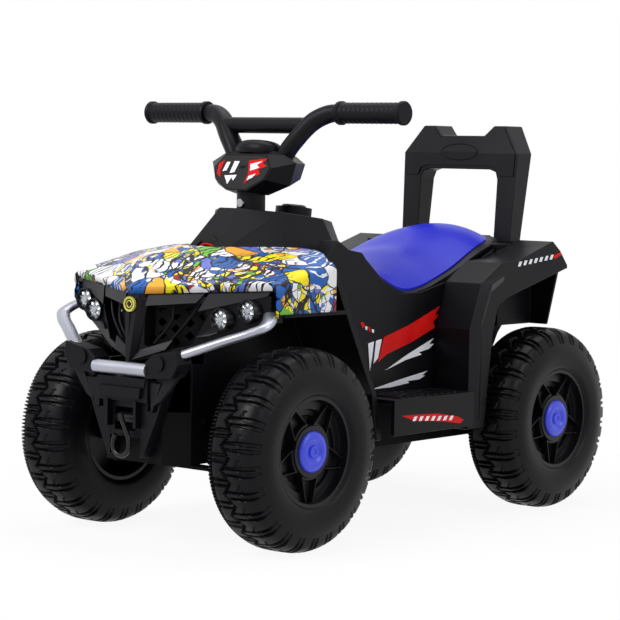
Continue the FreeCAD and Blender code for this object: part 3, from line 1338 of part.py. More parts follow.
def build_pod():
    """Faceted instrument pod round the stem's web, with room cut for the bar and the column."""
    pod = faceted([
        pod_ring(-0.22, 0.62, (0.32, 0.31, 0.06, -0.16, -0.37), 0.4),
        pod_ring(0.17, 1, (0.57, 0.45, 0.28, -0.27, -0.48), 0),
        pod_ring(0.62, 0.8, (0.42, 0.34, 0.2, -0.15, -0.3), 0),
    ])
    add_shape("instrument_pod", pod.cut(bar_form(size.seat_gap)))


def build_trim():
    """Charging socket in the right side panel and the screws that show."""
    socket = turned_body("charging_socket", [
        ("0", "Sizes.socket_dia / 5"), ("0", "Sizes.socket_dia / 2"),
        ("Sizes.socket_proud", "Sizes.socket_dia / 2"), ("Sizes.socket_proud", "Sizes.socket_dia / 5"),
    ])
    socket.Placement.Rotation = FreeCAD.Rotation(ALONG_Z, 180)
    place_body(socket, f"-{BODY_HALF}", f"{LEG_Y} - 1.5 * Sizes.socket_dia",
               f"{PAN_Z} + Sizes.pan_high + Sizes.battery_high")
    keep(socket, "charging_socket")
    screws = []
    for way in SIDES.values():
        foot = spot(way * pan_front_half, pan_front_y + 2 * size.lip_setback, pan_top - 3 * size.pan_wall)
        screws.append(Part.makeCylinder(size.screw_dia / 2, size.screw_high, foot, ALONG_X * way))
    add_shape("body_screws", Part.makeCompound(screws))


def build_rear_cover():
    """Flat cover over the gearbox, between the rear wheels."""
    thick = size.cover_thick
    rise = deck_low - size.rear_wall - size.arch_step - pan_top
    front = body_rear - 2 * size.arch_step + thick * size.arch_step / rise + size.seat_gap
    add_shape("rear_cover", block(-pan_half, pan_half, front, pan_rear_y, pan_top, pan_top + thick))


doc.recompute()
build_wheels()
build_rear_axle()
build_front_axle()
build_steering()
build_pan()
build_drive()
build_body()
build_seat()
build_front_fender()
build_hood()
build_console()
build_dash_controls()
build_bumper()
build_fascia()
build_grille()
build_lamps()
build_winch()
build_rear_fender()
build_footboards()
build_pedal()
build_backrest()
build_handlebar()
build_grips()
build_pod()
build_trim()
build_rear_cover()
doc.recompute()

failed = [item.Label for item in doc.Objects if "Invalid" in item.State or "Error" in item.State]
if failed:
    raise RuntimeError(f"failed features: {failed}")
for node in nodes:
    if node.Shape.isNull() or not node.Shape.isValid():
        raise RuntimeError(f"bad shape: {node.Label}")
os.makedirs("parts", exist_ok=True)
for node in nodes:
    node.Shape.exportStep(f"parts/{node.Label}.step")
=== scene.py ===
"""Looks of a kids quad bike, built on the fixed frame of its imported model.

Forward is -Y, the rider's left is +X and +Z is up. Sizes in the classes are millimetres,
and every mesh is written in metres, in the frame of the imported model.
"""

import json
import logging
import math
from dataclasses import dataclass, field, replace
from enum import Enum

import bmesh
import bpy
import numpy as np
from mathutils import Matrix, Vector

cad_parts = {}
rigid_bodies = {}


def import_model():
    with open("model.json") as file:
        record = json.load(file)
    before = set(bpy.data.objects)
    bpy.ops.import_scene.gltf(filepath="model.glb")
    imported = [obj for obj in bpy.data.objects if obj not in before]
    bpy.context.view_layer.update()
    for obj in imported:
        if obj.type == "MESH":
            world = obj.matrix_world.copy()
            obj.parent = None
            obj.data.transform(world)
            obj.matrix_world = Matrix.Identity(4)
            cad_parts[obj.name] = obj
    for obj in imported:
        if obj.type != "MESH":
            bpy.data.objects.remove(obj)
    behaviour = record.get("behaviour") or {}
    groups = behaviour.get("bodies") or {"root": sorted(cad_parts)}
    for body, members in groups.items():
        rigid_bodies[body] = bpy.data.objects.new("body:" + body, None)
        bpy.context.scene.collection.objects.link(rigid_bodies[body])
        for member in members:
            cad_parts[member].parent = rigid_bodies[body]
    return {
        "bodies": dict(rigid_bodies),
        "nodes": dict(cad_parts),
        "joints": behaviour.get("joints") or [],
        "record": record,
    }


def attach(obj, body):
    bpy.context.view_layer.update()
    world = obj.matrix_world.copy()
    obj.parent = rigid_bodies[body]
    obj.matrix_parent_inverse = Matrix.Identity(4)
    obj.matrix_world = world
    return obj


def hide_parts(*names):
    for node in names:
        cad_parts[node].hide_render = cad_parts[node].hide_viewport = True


MM = 0.001
# Radius, or share of one, at which the middle of a round piece is closed
POLE = 0.02
# Degrees above which the edges of flat-faced pieces stay sharp
CRISP = 12.0
LOG = logging.getLogger("quad_bike")
Colour = tuple[float, float, float]
Pair = tuple[float, float]
Triple = tuple[float, float, float]
Outline = tuple[Pair, ...]
Line = tuple[Triple, ...]


class Body(Enum):
    """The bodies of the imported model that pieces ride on."""

    CHASSIS = "chassis"
    STEERING = "steering"
    WHEEL_FRONT_LEFT = "wheel_front_left"
    WHEEL_FRONT_RIGHT = "wheel_front_right"
    WHEEL_REAR_LEFT = "wheel_rear_left"
    WHEEL_REAR_RIGHT = "wheel_rear_right"
    PEDAL = "pedal"


class Slot(Enum):
    """The record's material slots."""

    BODY = "body_black"
    FRAME = "frame_black"
    TREAD = "tread_black"
    RIM = "rim_black"
    CAP = "cap_blue"
    SEAT = "seat_blue"
    HOOD = "hood_print"
    BARS = "bar_silver"
    CHROME = "lamp_chrome"
    LENS = "lamp_lens"
    GRIP = "grip_rubber"


class Side(Enum):
    """The two sides of the bike, by the sign of X."""

    LEFT = 1
    RIGHT = -1


# Shapes worked out as whole arrays

def spline(points: np.ndarray, count: int) -> np.ndarray:
    """Smooth line through points: cubic Hermite spans over chord length, slopes from neighbours.

    Args:
        points: Points of the line, one per row, in any number of dimensions.
        count: How many samples to return, evenly spaced in chord length.

    Returns:
        The samples, one per row.
    """
    knots = np.asarray(points, float)
    chord = np.concatenate([[0.0], np.cumsum(np.linalg.norm(np.diff(knots, axis=0), axis=1))])
    return hermite(chord, knots, np.linspace(0.0, chord[-1], count))


def hermite(places: np.ndarray, values: np.ndarray, wanted: np.ndarray) -> np.ndarray:
    """Smooth function through (place, value) pairs: cubic Hermite spans with central slopes.

    Args:
        places: Rising places, one per value.
        values: Values there, numbers or rows.
        wanted: Places to evaluate, of any shape.

    Returns:
        The values at the wanted places.
    """
    places = np.asarray(places, float)
    values = np.asarray(values, float)
    slopes = np.gradient(values, places, axis=0)
    wanted = np.clip(wanted, places[0], places[-1])
    index = np.clip(np.searchsorted(places, wanted, side="right") - 1, 0, len(places) - 2)
    step = places[index + 1] - places[index]
    part = (wanted - places[index]) / step
    inner = (1,) * (values.ndim - 1)
    part = part.reshape(part.shape + inner)
    step = step.reshape(step.shape + inner)
    square = part * part
    cube = square * part
    start = (2 * cube - 3 * square + 1) * values[index]
    start = start + (cube - 2 * square + part) * step * slopes[index]
    end = (3 * square - 2 * cube) * values[index + 1] + (cube - square) * step * slopes[index + 1]
    return start + end


def smooth_step(value: np.ndarray, low: float | np.ndarray, high: float | np.ndarray) -> np.ndarray:
    """0 below low, 1 above high, and the cubic 3t^2 - 2t^3 between."""
    part = np.clip((value - low) / (high - low), 0.0, 1.0)
    return part * part * (3 - 2 * part)


def pulse(value: np.ndarray, middle: float, half: float | np.ndarray, soft: float) -> np.ndarray:
    """1 within half of the middle, 0 beyond, with soft flanks."""
    return 1.0 - smooth_step(np.abs(value - middle), half - soft, half + soft)


def round_turn(count: int) -> np.ndarray:
    """Angles of one full turn in equal steps."""
    return np.linspace(0.0, 2 * np.pi, count, endpoint=False)


@dataclass
class Shell:
    """Points and faces of one mesh in millimetres."""

    points: np.ndarray
    faces: list[list[int]]

    @staticmethod
    def grid(points: np.ndarray, wrap_rows: bool = False, wrap_columns: bool = False) -> "Shell":
        """Quads over a grid of points; a wrapped direction joins its last line to its first.

        Args:
            points: Array of rows, columns and three coordinates.
            wrap_rows: Whether the last row joins the first.
            wrap_columns: Whether the last column joins the first.

        Returns:
            The mesh of the grid.
        """
        rows, columns = points.shape[:2]
        index = np.arange(rows * columns).reshape(rows, columns)
        if wrap_rows:
            index = np.concatenate([index, index[:1]], axis=0)
        if wrap_columns:
            index = np.concatenate([index, index[:, :1]], axis=1)
        quads = np.stack([index[:-1, :-1], index[1:, :-1], index[1:, 1:], index[:-1, 1:]], axis=-1)
        return Shell(points.reshape(-1, 3), quads.reshape(-1, 4).tolist())

    @staticmethod
    def rings(points: np.ndarray) -> "Shell":
        """Closed solid through rings of points; each end ring is filled by one flat face.

        Args:
            points: Array of rings, points round each ring and three coordinates.

        Returns:
            The closed mesh.
        """
        shell = Shell.grid(points, wrap_columns=True)
        rows, columns = points.shape[:2]
        first = list(range(columns))
        last = list(range((rows - 1) * columns, rows * columns))
        shell.faces += [first, last[::-1]]
        return shell

    def mirrored(self) -> "Shell":
        """The same mesh on the other side of the bike."""
        return Shell(self.points * np.array([-1.0, 1.0, 1.0]), [face[::-1] for face in self.faces])


def join_all(shells: list[Shell]) -> Shell:
    """Several meshes in one piece; each one's corners are counted on from those before it.

    Args:
        shells: The meshes.

    Returns:
        The joined mesh.
    """
    starts = np.cumsum([0] + [len(shell.points) for shell in shells]).tolist()
    faces = []
    for shell, start in zip(shells, starts):
        faces += [[corner + start for corner in face] for face in shell.faces]
    return Shell(np.vstack([shell.points for shell in shells]), faces)


def both_sides(shells: list[Shell]) -> Shell:
    """Meshes of the left side and their mirror images in one piece."""
    return join_all(shells + [shell.mirrored() for shell in shells])


def turned(profile: np.ndarray, count: int, centre: Triple, axis: str = "x") -> Shell:
    """Closed profile of (along, radius) pairs carried round an axis: (along, r cos t, r sin t).

    Args:
        profile: Closed outline, one (along, radius) pair per row.
        count: Steps round the axis.
        centre: Place of the profile's zero.
        axis: Letter of the axis, x or y.

    Returns:
        The closed mesh.
    """
    angle = round_turn(count)[:, None]
    along = np.broadcast_to(profile[None, :, 0], (count, len(profile)))
    across = profile[None, :, 1] * np.cos(angle)
    up = profile[None, :, 1] * np.sin(angle)
    order = [along, across, up] if axis == "x" else [across, along, up]
    points = np.stack(order, axis=-1) + np.array(centre)
    return Shell.grid(points, wrap_rows=True, wrap_columns=True)


def swept(path: np.ndarray, halves: np.ndarray, roundness: float, count: int,
          level: Triple = (0, 0, 1)) -> Shell:
    """Superellipse carried along a path: c = |cos|^k a, s = |sin|^k b in the path's own frame.

    Args:
        path: Points of the path, one per row.
        halves: Half width and half height of the section at each point.
        roundness: Power k; 1 is an ellipse and smaller values are squarer.
        count: Points round the section.
        level: Direction that stays closest to the section's height.

    Returns:
        The closed mesh.
    """
    along = np.gradient(path, axis=0)
    along /= np.linalg.norm(along, axis=1, keepdims=True)
    side = np.cross(along, np.array(level, float))
    side /= np.linalg.norm(side, axis=1, keepdims=True)
    up = np.cross(side, along)
    angle = round_turn(count)
    wide = np.sign(np.cos(angle)) * np.abs(np.cos(angle)) ** roundness
    high = np.sign(np.sin(angle)) * np.abs(np.sin(angle)) ** roundness
    points = path[:, None, :] + side[:, None, :] * (halves[:, 0, None] * wide)[..., None]
    return Shell.rings(points + up[:, None, :] * (halves[:, 1, None] * high)[..., None])


def rod(path: np.ndarray, radius: float, count: int, level: Triple = (0, 0, 1),
        roundness: float = 1.0) -> Shell:
    """Rod of one radius carried along a path."""
    return swept(path, np.full((len(path), 2), radius), roundness, count, level)


def cross_bar(half: float, radius: float, y: float, z: float) -> Shell:
    """Round bar from -half to half across the bike."""
    return rod(np.linspace((-half, y, z), (half, y, z), 9), radius, 28)


def plate(outline: np.ndarray | Line | list[Triple], push: Triple) -> Shell:
    """Plate: an outline of points and the same outline moved by push, joined by walls."""
    front = np.asarray(outline, float)
    return Shell.rings(np.stack([front, front + np.array(push, float)]))


def upright_plate(outline: np.ndarray | Outline, front: float, deep: float) -> Shell:
    """Plate of an (x, z) outline that faces forwards."""
    x, z = np.asarray(outline, float).T
    return plate(np.stack([x, np.full(len(x), front), z], axis=-1), (0.0, deep, 0.0))


# Materials

def linear(red: float, green: float, blue: float) -> tuple[float, float, float, float]:
    """Screen colour of 0 to 255 as linear light with full alpha, by the sRGB curve.

    Args:
        red: Red share.
        green: Green share.
        blue: Blue share.

    Returns:
        Red, green, blue and alpha of 0 to 1.
    """
    share = np.array([red, green, blue]) / 255.0
    light = np.where(share <= 0.04045, share / 12.92, ((share + 0.055) / 1.055) ** 2.4)
    return (*light.tolist(), 1.0)


class NodeSheet:
    """Short calls that add and join the nodes of one tree."""

    def __init__(self, tree: bpy.types.NodeTree) -> None:
        """Keep the tree that the calls work on."""
        self.tree = tree

    @staticmethod
    def fresh(owner: bpy.types.Material | bpy.types.World) -> "NodeSheet":
        """Empty sheet of a new material or world.

        Args:
            owner: The material or world.

        Returns:
            The sheet.
        """
        owner.use_nodes = True
        owner.node_tree.nodes.clear()
        return NodeSheet(owner.node_tree)

    def add(self, kind: str, inputs: dict | None = None, **settings: object) -> bpy.types.Node:
        """One node of a kind.

        Args:
            kind: Node type without its ShaderNode prefix.
            inputs: Socket names with the values or sockets that feed them.
            settings: Properties of the node.

        Returns:
            The node.
        """
        node = self.tree.nodes.new(f"ShaderNode{kind}")
        for name, value in settings.items():
            setattr(node, name, value)
        for name, value in (inputs or {}).items():
            self.feed(node.inputs[name], value)
        return node

    def feed(self, socket: bpy.types.NodeSocket, value: object) -> None:
        """Link a socket to another one, or set its value.

        Args:
            socket: The socket to feed.
            value: Another socket, or a plain value.
        """
        if isinstance(value, bpy.types.NodeSocket):
            self.tree.links.new(value, socket)
        else:
            socket.default_value = value

    def math(self, operation: str, *terms: object) -> bpy.types.NodeSocket:
        """Result of one arithmetic node.

        Args:
            operation: Name of the operation.
            terms: Values or sockets that it works on.

        Returns:
            The result's socket.
        """
        node = self.add("Math", operation=operation)
        for socket, term in zip(node.inputs, terms):
            self.feed(socket, term)
        return node.outputs[0]

    def mix(self, share: object, first: object, second: object) -> bpy.types.NodeSocket:
        """Colour between two others."""
        return self.add("MixRGB", {"Fac": share, "Color1": first, "Color2": second}).outputs["Color"]

    def ramp(self, share: object, low: float, high: float, start: float = 0.0,
             end: float = 1.0) -> bpy.types.NodeSocket:
        """Value that runs from start to end while share runs from low to high."""
        inputs = {"Value": share, "From Min": low, "From Max": high, "To Min": start, "To Max": end}
        return self.add("MapRange", inputs).outputs["Result"]

    def noise(self, place: object, scale: object, detail: float) -> bpy.types.Node:
        """Noise texture at a place."""
        return self.add("TexNoise", {"Vector": place, "Scale": scale, "Detail": detail})


def moulding_grain() -> bpy.types.NodeTree:
    """Shared effect of moulded faces: fine grain height, soft patches and thin scuff lines.

    Returns:
        The node group, built once.
    """
    tree = bpy.data.node_groups.get("moulding_grain")
    if tree is not None:
        return tree
    tree = bpy.data.node_groups.new("moulding_grain", "ShaderNodeTree")
    for name in ("Grain Scale", "Patch Scale"):
        tree.interface.new_socket(name, in_out="INPUT", socket_type="NodeSocketFloat")
    for name in ("Height", "Patch", "Scuff"):
        tree.interface.new_socket(name, in_out="OUTPUT", socket_type="NodeSocketFloat")
    sheet = NodeSheet(tree)
    given = tree.nodes.new("NodeGroupInput")
    result = tree.nodes.new("NodeGroupOutput")
    place = sheet.add("TexCoord").outputs["Object"]
    grain = sheet.noise(place, given.outputs["Grain Scale"], 3.0)
    patch = sheet.noise(place, given.outputs["Patch Scale"], 4.0)
    scuff_scale = (14.0, 220.0, 90.0)
    scuff_turn = (0.4, 0.3, 0.7)
    stretch = sheet.add("Mapping", {"Vector": place, "Scale": scuff_scale, "Rotation": scuff_turn})
    lines = sheet.noise(stretch.outputs[0], 1.0, 2.0)
    sheet.feed(result.inputs["Height"], grain.outputs["Fac"])
    sheet.feed(result.inputs["Patch"], sheet.ramp(patch.outputs["Fac"], 0.3, 0.7))
    sheet.feed(result.inputs["Scuff"], sheet.ramp(lines.outputs["Fac"], 0.68, 0.8))
    return tree


@dataclass(frozen=True)
class Finish:
    """A moulded or painted surface: two close tones in patches, matching gloss and a fine grain."""

    name: str
    tone: Colour
    patch_tone: Colour
    roughness: float = 0.45
    gloss_swing: float = 0.08
    grain_scale: float = 1400.0
    grain_depth: float = 0.12
    grain_reach: float = 0.0004
    patch_scale: float = 9.0
    metallic: float = 0.0
    coat: float = 0.0
    coat_roughness: float = 0.25
    specular: float = 0.5

    def paint(self, sheet: NodeSheet, patch: bpy.types.NodeSocket) -> bpy.types.NodeSocket:
        """Colour over the surface: the two tones by the soft patch mask."""
        return sheet.mix(patch, linear(*self.tone), linear(*self.patch_tone))

    def material(self) -> bpy.types.Material:
        """The material of this finish.

        Returns:
            The material, built once.
        """
        found = bpy.data.materials.get(self.name)
        if found is not None:
            return found
        made = bpy.data.materials.new(self.name)
        sheet = NodeSheet.fresh(made)
        grain = sheet.add("Group", node_tree=moulding_grain())
        grain.inputs["Grain Scale"].default_value = self.grain_scale
        grain.inputs["Patch Scale"].default_value = self.patch_scale
        patch = grain.outputs["Patch"]
        swing = self.gloss_swing
        gloss = sheet.ramp(patch, 0.0, 1.0, self.roughness - swing, self.roughness + swing)
        gloss = sheet.math("ADD", gloss, sheet.math("MULTIPLY", grain.outputs["Scuff"], swing))
        bump = sheet.add("Bump", {
            "Height": grain.outputs["Height"], "Strength": self.grain_depth, "Distance": self.grain_reach,
        })
        shader = sheet.add("BsdfPrincipled", {
            "Base Color": self.paint(sheet, patch),
            "Roughness": gloss,
            "Metallic": self.metallic,
            "Specular IOR Level": self.specular,
            "Coat Weight": self.coat,
            "Coat Roughness": self.coat_roughness,
            "Normal": bump.outputs["Normal"],
        })
        output = sheet.add("OutputMaterial")
        sheet.feed(output.inputs["Surface"], shader.outputs["BSDF"])
        return made


@dataclass(frozen=True)
class PrintFinish(Finish):
    """Loose all-over print: warped cells in a bright palette with dark outlines and strokes."""

    cell_scale: float = 33.0
    cell_outline: Pair = (0.036, 0.022)
    fine_scale: float = 112.2
    fine_outline: Pair = (0.06, 0.035)
    fine_from: Pair = (0.53, 0.54)
    patchwork_scale: float = 17.0
    warp_scale: float = 22.0
    warp_reach: float = 0.034
    stroke_scale: float = 36.0
    stroke_bend: float = 8.0
    stroke_zone_scale: float = 13.0
    pale_stroke: Pair = (0.80, 0.86)
    pale_zone: Pair = (0.54, 0.57)
    dark_stroke: Pair = (0.22, 0.16)
    dark_zone: Pair = (0.46, 0.43)
    ink: Colour = (24, 24, 30)
    chalk: Colour = (240, 240, 244)
    palette: tuple[tuple[float, Colour], ...] = (
        (0.00, (240, 240, 244)),
        (0.18, (248, 228, 36)),
        (0.34, (40, 96, 176)),
        (0.54, (104, 118, 200)),
        (0.66, (240, 240, 244)),
        (0.76, (242, 172, 64)),
        (0.84, (112, 184, 60)),
        (0.91, (158, 36, 48)),
        (0.96, (34, 34, 42)),
    )

    def cells(self, sheet: NodeSheet, place: bpy.types.NodeSocket, scale: float) -> bpy.types.NodeSocket:
        """Cells of one size, each in a colour picked from the palette.

        Args:
            sheet: The material's nodes.
            place: Warped place on the surface.
            scale: Cells per metre.

        Returns:
            The colour socket.
        """
        cells = sheet.add("TexVoronoi", {"Vector": place, "Scale": scale})
        pick = sheet.add("SeparateColor", {"Color": cells.outputs["Color"]}).outputs[0]
        colours = sheet.add("ValToRGB", {"Fac": pick})
        colours.color_ramp.interpolation = "CONSTANT"
        stops = colours.color_ramp.elements
        while len(stops) < len(self.palette):
            stops.new(0.5)
        for stop, (start, tone) in zip(stops, self.palette):
            stop.position = start
            stop.color = linear(*tone)
        return colours.outputs["Color"]

    def outlines(self, sheet: NodeSheet, place: bpy.types.NodeSocket, scale: float,
                 band: Pair) -> bpy.types.NodeSocket:
        """Mask of the lines between cells of one size, fading out over a band of distances."""
        edges = sheet.add("TexVoronoi", {"Vector": place, "Scale": scale}, feature="DISTANCE_TO_EDGE")
        return sheet.ramp(edges.outputs["Distance"], *band)

    def paint(self, sheet: NodeSheet, patch: bpy.types.NodeSocket) -> bpy.types.NodeSocket:
        """Colour of the print, layer over layer: cells, small cells, strokes and outlines.

        Args:
            sheet: The material's nodes.
            patch: Soft patch mask, which the print has no need of.

        Returns:
            The colour socket.
        """
        place = sheet.add("TexCoord").outputs["Object"]
        drift = sheet.noise(place, self.warp_scale, 3.0).outputs["Color"]
        centred = sheet.add("VectorMath", {0: drift, 1: (0.5, 0.5, 0.5)}, operation="SUBTRACT").outputs[0]
        reach = {0: centred, "Scale": self.warp_reach}
        shift = sheet.add("VectorMath", reach, operation="SCALE").outputs[0]
        warped = sheet.add("VectorMath", {0: place, 1: shift}, operation="ADD").outputs[0]
        patchwork = sheet.noise(place, self.patchwork_scale, 2.0).outputs["Fac"]
        fine = sheet.ramp(patchwork, *self.fine_from)
        colour = self.cells(sheet, warped, self.cell_scale)
        colour = sheet.mix(fine, colour, self.cells(sheet, warped, self.fine_scale))
        strokes = sheet.add("TexWave", {
            "Vector": warped, "Scale": self.stroke_scale, "Distortion": self.stroke_bend, "Detail": 2.0,
        }).outputs["Fac"]
        zone = sheet.noise(place, self.stroke_zone_scale, 1.0).outputs["Fac"]
        ink = linear(*self.ink)
        for stroke, area, tone in (
            (self.pale_stroke, self.pale_zone, linear(*self.chalk)),
            (self.dark_stroke, self.dark_zone, ink),
        ):
            drawn = sheet.math("MULTIPLY", sheet.ramp(strokes, *stroke), sheet.ramp(zone, *area))
            colour = sheet.mix(drawn, colour, tone)
        crackle = self.outlines(sheet, warped, self.fine_scale, self.fine_outline)
        colour = sheet.mix(sheet.math("MULTIPLY", crackle, fine), colour, ink)
        return sheet.mix(self.outlines(sheet, warped, self.cell_scale, self.cell_outline), colour, ink)


class Finishes:
    """Every finish of the bike by name."""

    body = Finish("black_moulding", (10, 10, 14), (14, 14, 19), roughness=0.4, specular=0.12)
    # Slightly lighter copy of the black moulding: painted highlight for the raised fascia, beak and bib
    # facets.
    facet = Finish("lit_facet_moulding", (13, 13, 17), (18, 18, 23), roughness=0.4, specular=0.15)
    # Lighter copy of the black moulding: painted highlight for faces that catch the light, on the backrest,
    # its yoke and medallion and the fender ridges.
    satin = Finish("painted_highlight_moulding", (16, 16, 20), (22, 22, 27), roughness=0.38, specular=0.15)
    gloss = Finish("gloss_moulding", (8, 8, 11), (12, 12, 15), roughness=0.26, specular=0.3)
    tube = Finish("bar_moulding", (13, 13, 17), (17, 17, 22), roughness=0.4, specular=0.12)
    # Darker, rougher copy of the black moulding: painted shade for parts under and inside the body, the
    # grille mesh, the steel steering link and the backrest's ring groove.
    shade = Finish("painted_shade_moulding", (5, 5, 7), (8, 8, 10), roughness=0.6, specular=0.1)
    tread = Finish("tyre_moulding", (13, 13, 16), (18, 18, 21), 0.36, grain_depth=0.2, specular=0.12)
    rim = Finish("rim_moulding", (11, 11, 14), (16, 16, 20), roughness=0.34, specular=0.25)
    cap = Finish("blue_cap", (36, 52, 218), (44, 64, 226), 0.33, coat=0.3, patch_scale=30.0)
    seat = Finish("blue_saddle", (25, 33, 184), (32, 40, 190), 0.36, grain_depth=0.1, specular=0.15)
    bars = Finish("satin_silver", (158, 160, 172), (176, 178, 189), roughness=0.34, metallic=0.85)
    chrome = Finish("bright_reflector", (150, 154, 160), (186, 189, 194), roughness=0.27, metallic=0.9)
    grip = Finish("moulded_grip", (11, 11, 15), (15, 15, 20), 0.45, grain_depth=0.25, specular=0.12)
    steel = Finish("zinc_steel", (150, 152, 156), (176, 178, 182), 0.3, metallic=1.0, patch_scale=60.0)
    hood = PrintFinish("all_over_print", (240, 240, 242), (240, 240, 242), 0.4, grain_depth=0.05,
                       specular=0.2)
    red = Finish("print_red", (206, 16, 18), (220, 28, 22), 0.4, specular=0.12, patch_scale=40.0)
    white = Finish("print_white", (240, 242, 250), (248, 249, 254), 0.4, specular=0.2, patch_scale=40.0)
    brass = Finish("badge_gilt", (186, 180, 70), (204, 198, 92), 0.35, metallic=0.3, patch_scale=80.0)
    signal = Finish("button_red", (176, 24, 26), (194, 36, 34), 0.35, coat=0.3, patch_scale=80.0)


# Pieces in the scene

@dataclass
class Yard:
    """Where finished pieces go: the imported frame, and a list of what was made."""

    frame: dict
    made: list[str] = field(default_factory=list)
    weld: float = 1e-5
    flat_angle: float = 0.01
    smooth_angle: float = 14.0
    bevel_angle: float = 22.0

    def place(self, name: str, shell: Shell, finish: Finish, body: Body = Body.CHASSIS,
              slot: Slot = Slot.BODY, nodes: tuple[str, ...] = (), sharp: float = 35.0,
              closed: bool = True) -> bpy.types.Object:
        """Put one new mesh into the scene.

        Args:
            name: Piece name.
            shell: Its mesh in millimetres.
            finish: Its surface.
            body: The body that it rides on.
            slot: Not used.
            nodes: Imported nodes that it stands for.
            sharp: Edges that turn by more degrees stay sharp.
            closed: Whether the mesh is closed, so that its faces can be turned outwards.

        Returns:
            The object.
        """
        mesh = bpy.data.meshes.new(name)
        mesh.from_pydata((shell.points * MM).tolist(), [], shell.faces)
        mesh.update()
        if closed:
            form = bmesh.new()
            form.from_mesh(mesh)
            bmesh.ops.recalc_face_normals(form, faces=form.faces)
            form.to_mesh(mesh)
            form.free()
        mesh.shade_smooth()
        mesh.set_sharp_from_angle(angle=math.radians(sharp))
        return self.settle(bpy.data.objects.new(name, mesh), finish, body, nodes)

    def rounded(self, node: str, finish: Finish, body: Body, slot: Slot, width: float) -> bpy.types.Object:
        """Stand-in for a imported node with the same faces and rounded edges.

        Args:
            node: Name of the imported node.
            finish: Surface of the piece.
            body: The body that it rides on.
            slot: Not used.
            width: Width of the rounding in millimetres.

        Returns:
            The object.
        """
        name = f"{node}_moulding"
        mesh = bpy.data.meshes.new(name)
        form = bmesh.new()
        form.from_mesh(self.frame["nodes"][node].data)
        for layer in list(form.loops.layers.float_vector):
            form.loops.layers.float_vector.remove(layer)
        bmesh.ops.remove_doubles(form, verts=form.verts, dist=self.weld)
        bmesh.ops.dissolve_limit(form, angle_limit=self.flat_angle, verts=form.verts, edges=form.edges)
        form.to_mesh(mesh)
        form.free()
        for extra in [item.name for item in mesh.attributes if item.name == "custom_normal"]:
            mesh.attributes.remove(mesh.attributes[extra])
        mesh.materials.clear()
        mesh.shade_smooth()
        mesh.set_sharp_from_angle(angle=math.radians(self.smooth_angle))
        piece = bpy.data.objects.new(name, mesh)
        edge = piece.modifiers.new("rounding", "BEVEL")
        edge.width = width * MM
        edge.segments = 2
        edge.limit_method = "ANGLE"
        edge.angle_limit = math.radians(self.bevel_angle)
        edge.use_clamp_overlap = False
        edge.harden_normals = True
        return self.settle(piece, finish, body, (node,))

    def settle(self, piece: bpy.types.Object, finish: Finish, body: Body,
               nodes: tuple[str, ...]) -> bpy.types.Object:
        """Link a piece, dress it and tie it to its body.

        Args:
            piece: The new object.
            finish: Its surface.
            body: The body that it rides on.
            nodes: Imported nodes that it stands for.

        Returns:
            The object.
        """
        bpy.context.scene.collection.objects.link(piece)
        piece.data.materials.append(finish.material())
        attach(piece, body.value)
        if nodes:
            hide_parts(*nodes)
        self.made.append(piece.name)
        LOG.info("made %s on %s", piece.name, body.value)
        return piece

    def dress(self, node: str, finish: Finish) -> None:
        """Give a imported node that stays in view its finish.

        Args:
            node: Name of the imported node.
            finish: Its surface.
        """
        item = self.frame["nodes"][node]
        item.data.materials.clear()
        item.data.materials.append(finish.material())
        LOG.info("dressed %s", node)


@dataclass(frozen=True)
class Tread:
    """Grooves of a tyre, by the place across it and the share of one pitch round it.

    On the +X half each pitch has a stepped block and a bar between two cross grooves, the middle
    has a zigzag groove, and the -X shoulder is a ladder of short bars beside a rib.
    """

    pitches: int = 26
    groove: float = 4.6
    soft: float = 0.025
    zigzag: float = 5.0
    zigzag_margin: Pair = (2.0, 3.5)
    lug_grooves: Pair = (0.37, 0.65)
    lug_half: float = 0.05
    lug_flare: float = 0.04
    flare_run: Pair = (12.0, 26.0)
    inner_grooves: Pair = (0.38, 0.62)
    inner_half: float = 0.06
    inner_end: Pair = (-19.0, -17.5)
    step_share: float = 0.45
    step_follow: float = 0.6
    rungs: int = 6
    rungs_from: Pair = (21.5, 22.5)
    shoulder: Pair = (95.0, 100.0)
    # Pulses of the other grooves: middle, half width and softness
    zigzag_groove: Triple = (0.0, 1.9, 0.6)
    step_across: Triple = (15.0, 1.2, 0.5)
    step_round: Triple = (0.05, 0.34, 0.03)
    rib_groove: Triple = (-20.5, 1.4, 0.6)
    rung_groove: Triple = (0.5, 0.25, 0.1)

    def depth(self, along: np.ndarray, radius: np.ndarray, angle: np.ndarray) -> np.ndarray:
        """Depth of the grooves: soft pulses over the place and the pitch, added and cut off at one.

        Args:
            along: Place across the tyre.
            radius: Radius of the plain tyre there.
            angle: Angle round the wheel.

        Returns:
            Depth below the plain tyre.
        """
        pitch = angle * self.pitches / (2 * np.pi)
        share = pitch % 1.0
        other = (share + 0.5) % 1.0
        zigzag = self.zigzag * (2 * np.abs(2 * share - 1) - 1)
        near, far = self.zigzag_margin
        flare = self.lug_half + self.lug_flare * smooth_step(along, *self.flare_run)
        lugs = sum(pulse(share, place, flare, self.soft) for place in self.lug_grooves)
        lugs = lugs * smooth_step(along, zigzag + near, zigzag + far)
        inner = sum(pulse(other, place, self.inner_half, self.soft) for place in self.inner_grooves)
        inner = inner * smooth_step(-along, near - zigzag, far - zigzag)
        inner = inner * smooth_step(along, *self.inner_end)
        middle = pulse(along - zigzag, *self.zigzag_groove)
        step = pulse(along - self.step_follow * zigzag, *self.step_across)
        step = self.step_share * step * pulse(share, *self.step_round)
        rib = pulse(along, *self.rib_groove)
        rungs = pulse((self.rungs * pitch) % 1.0, *self.rung_groove)
        rungs = rungs * smooth_step(-along, *self.rungs_from)
        depth = np.clip(lugs + inner + middle + step + rib + rungs, 0.0, 1.0)
        return self.groove * depth * smooth_step(radius, *self.shoulder)


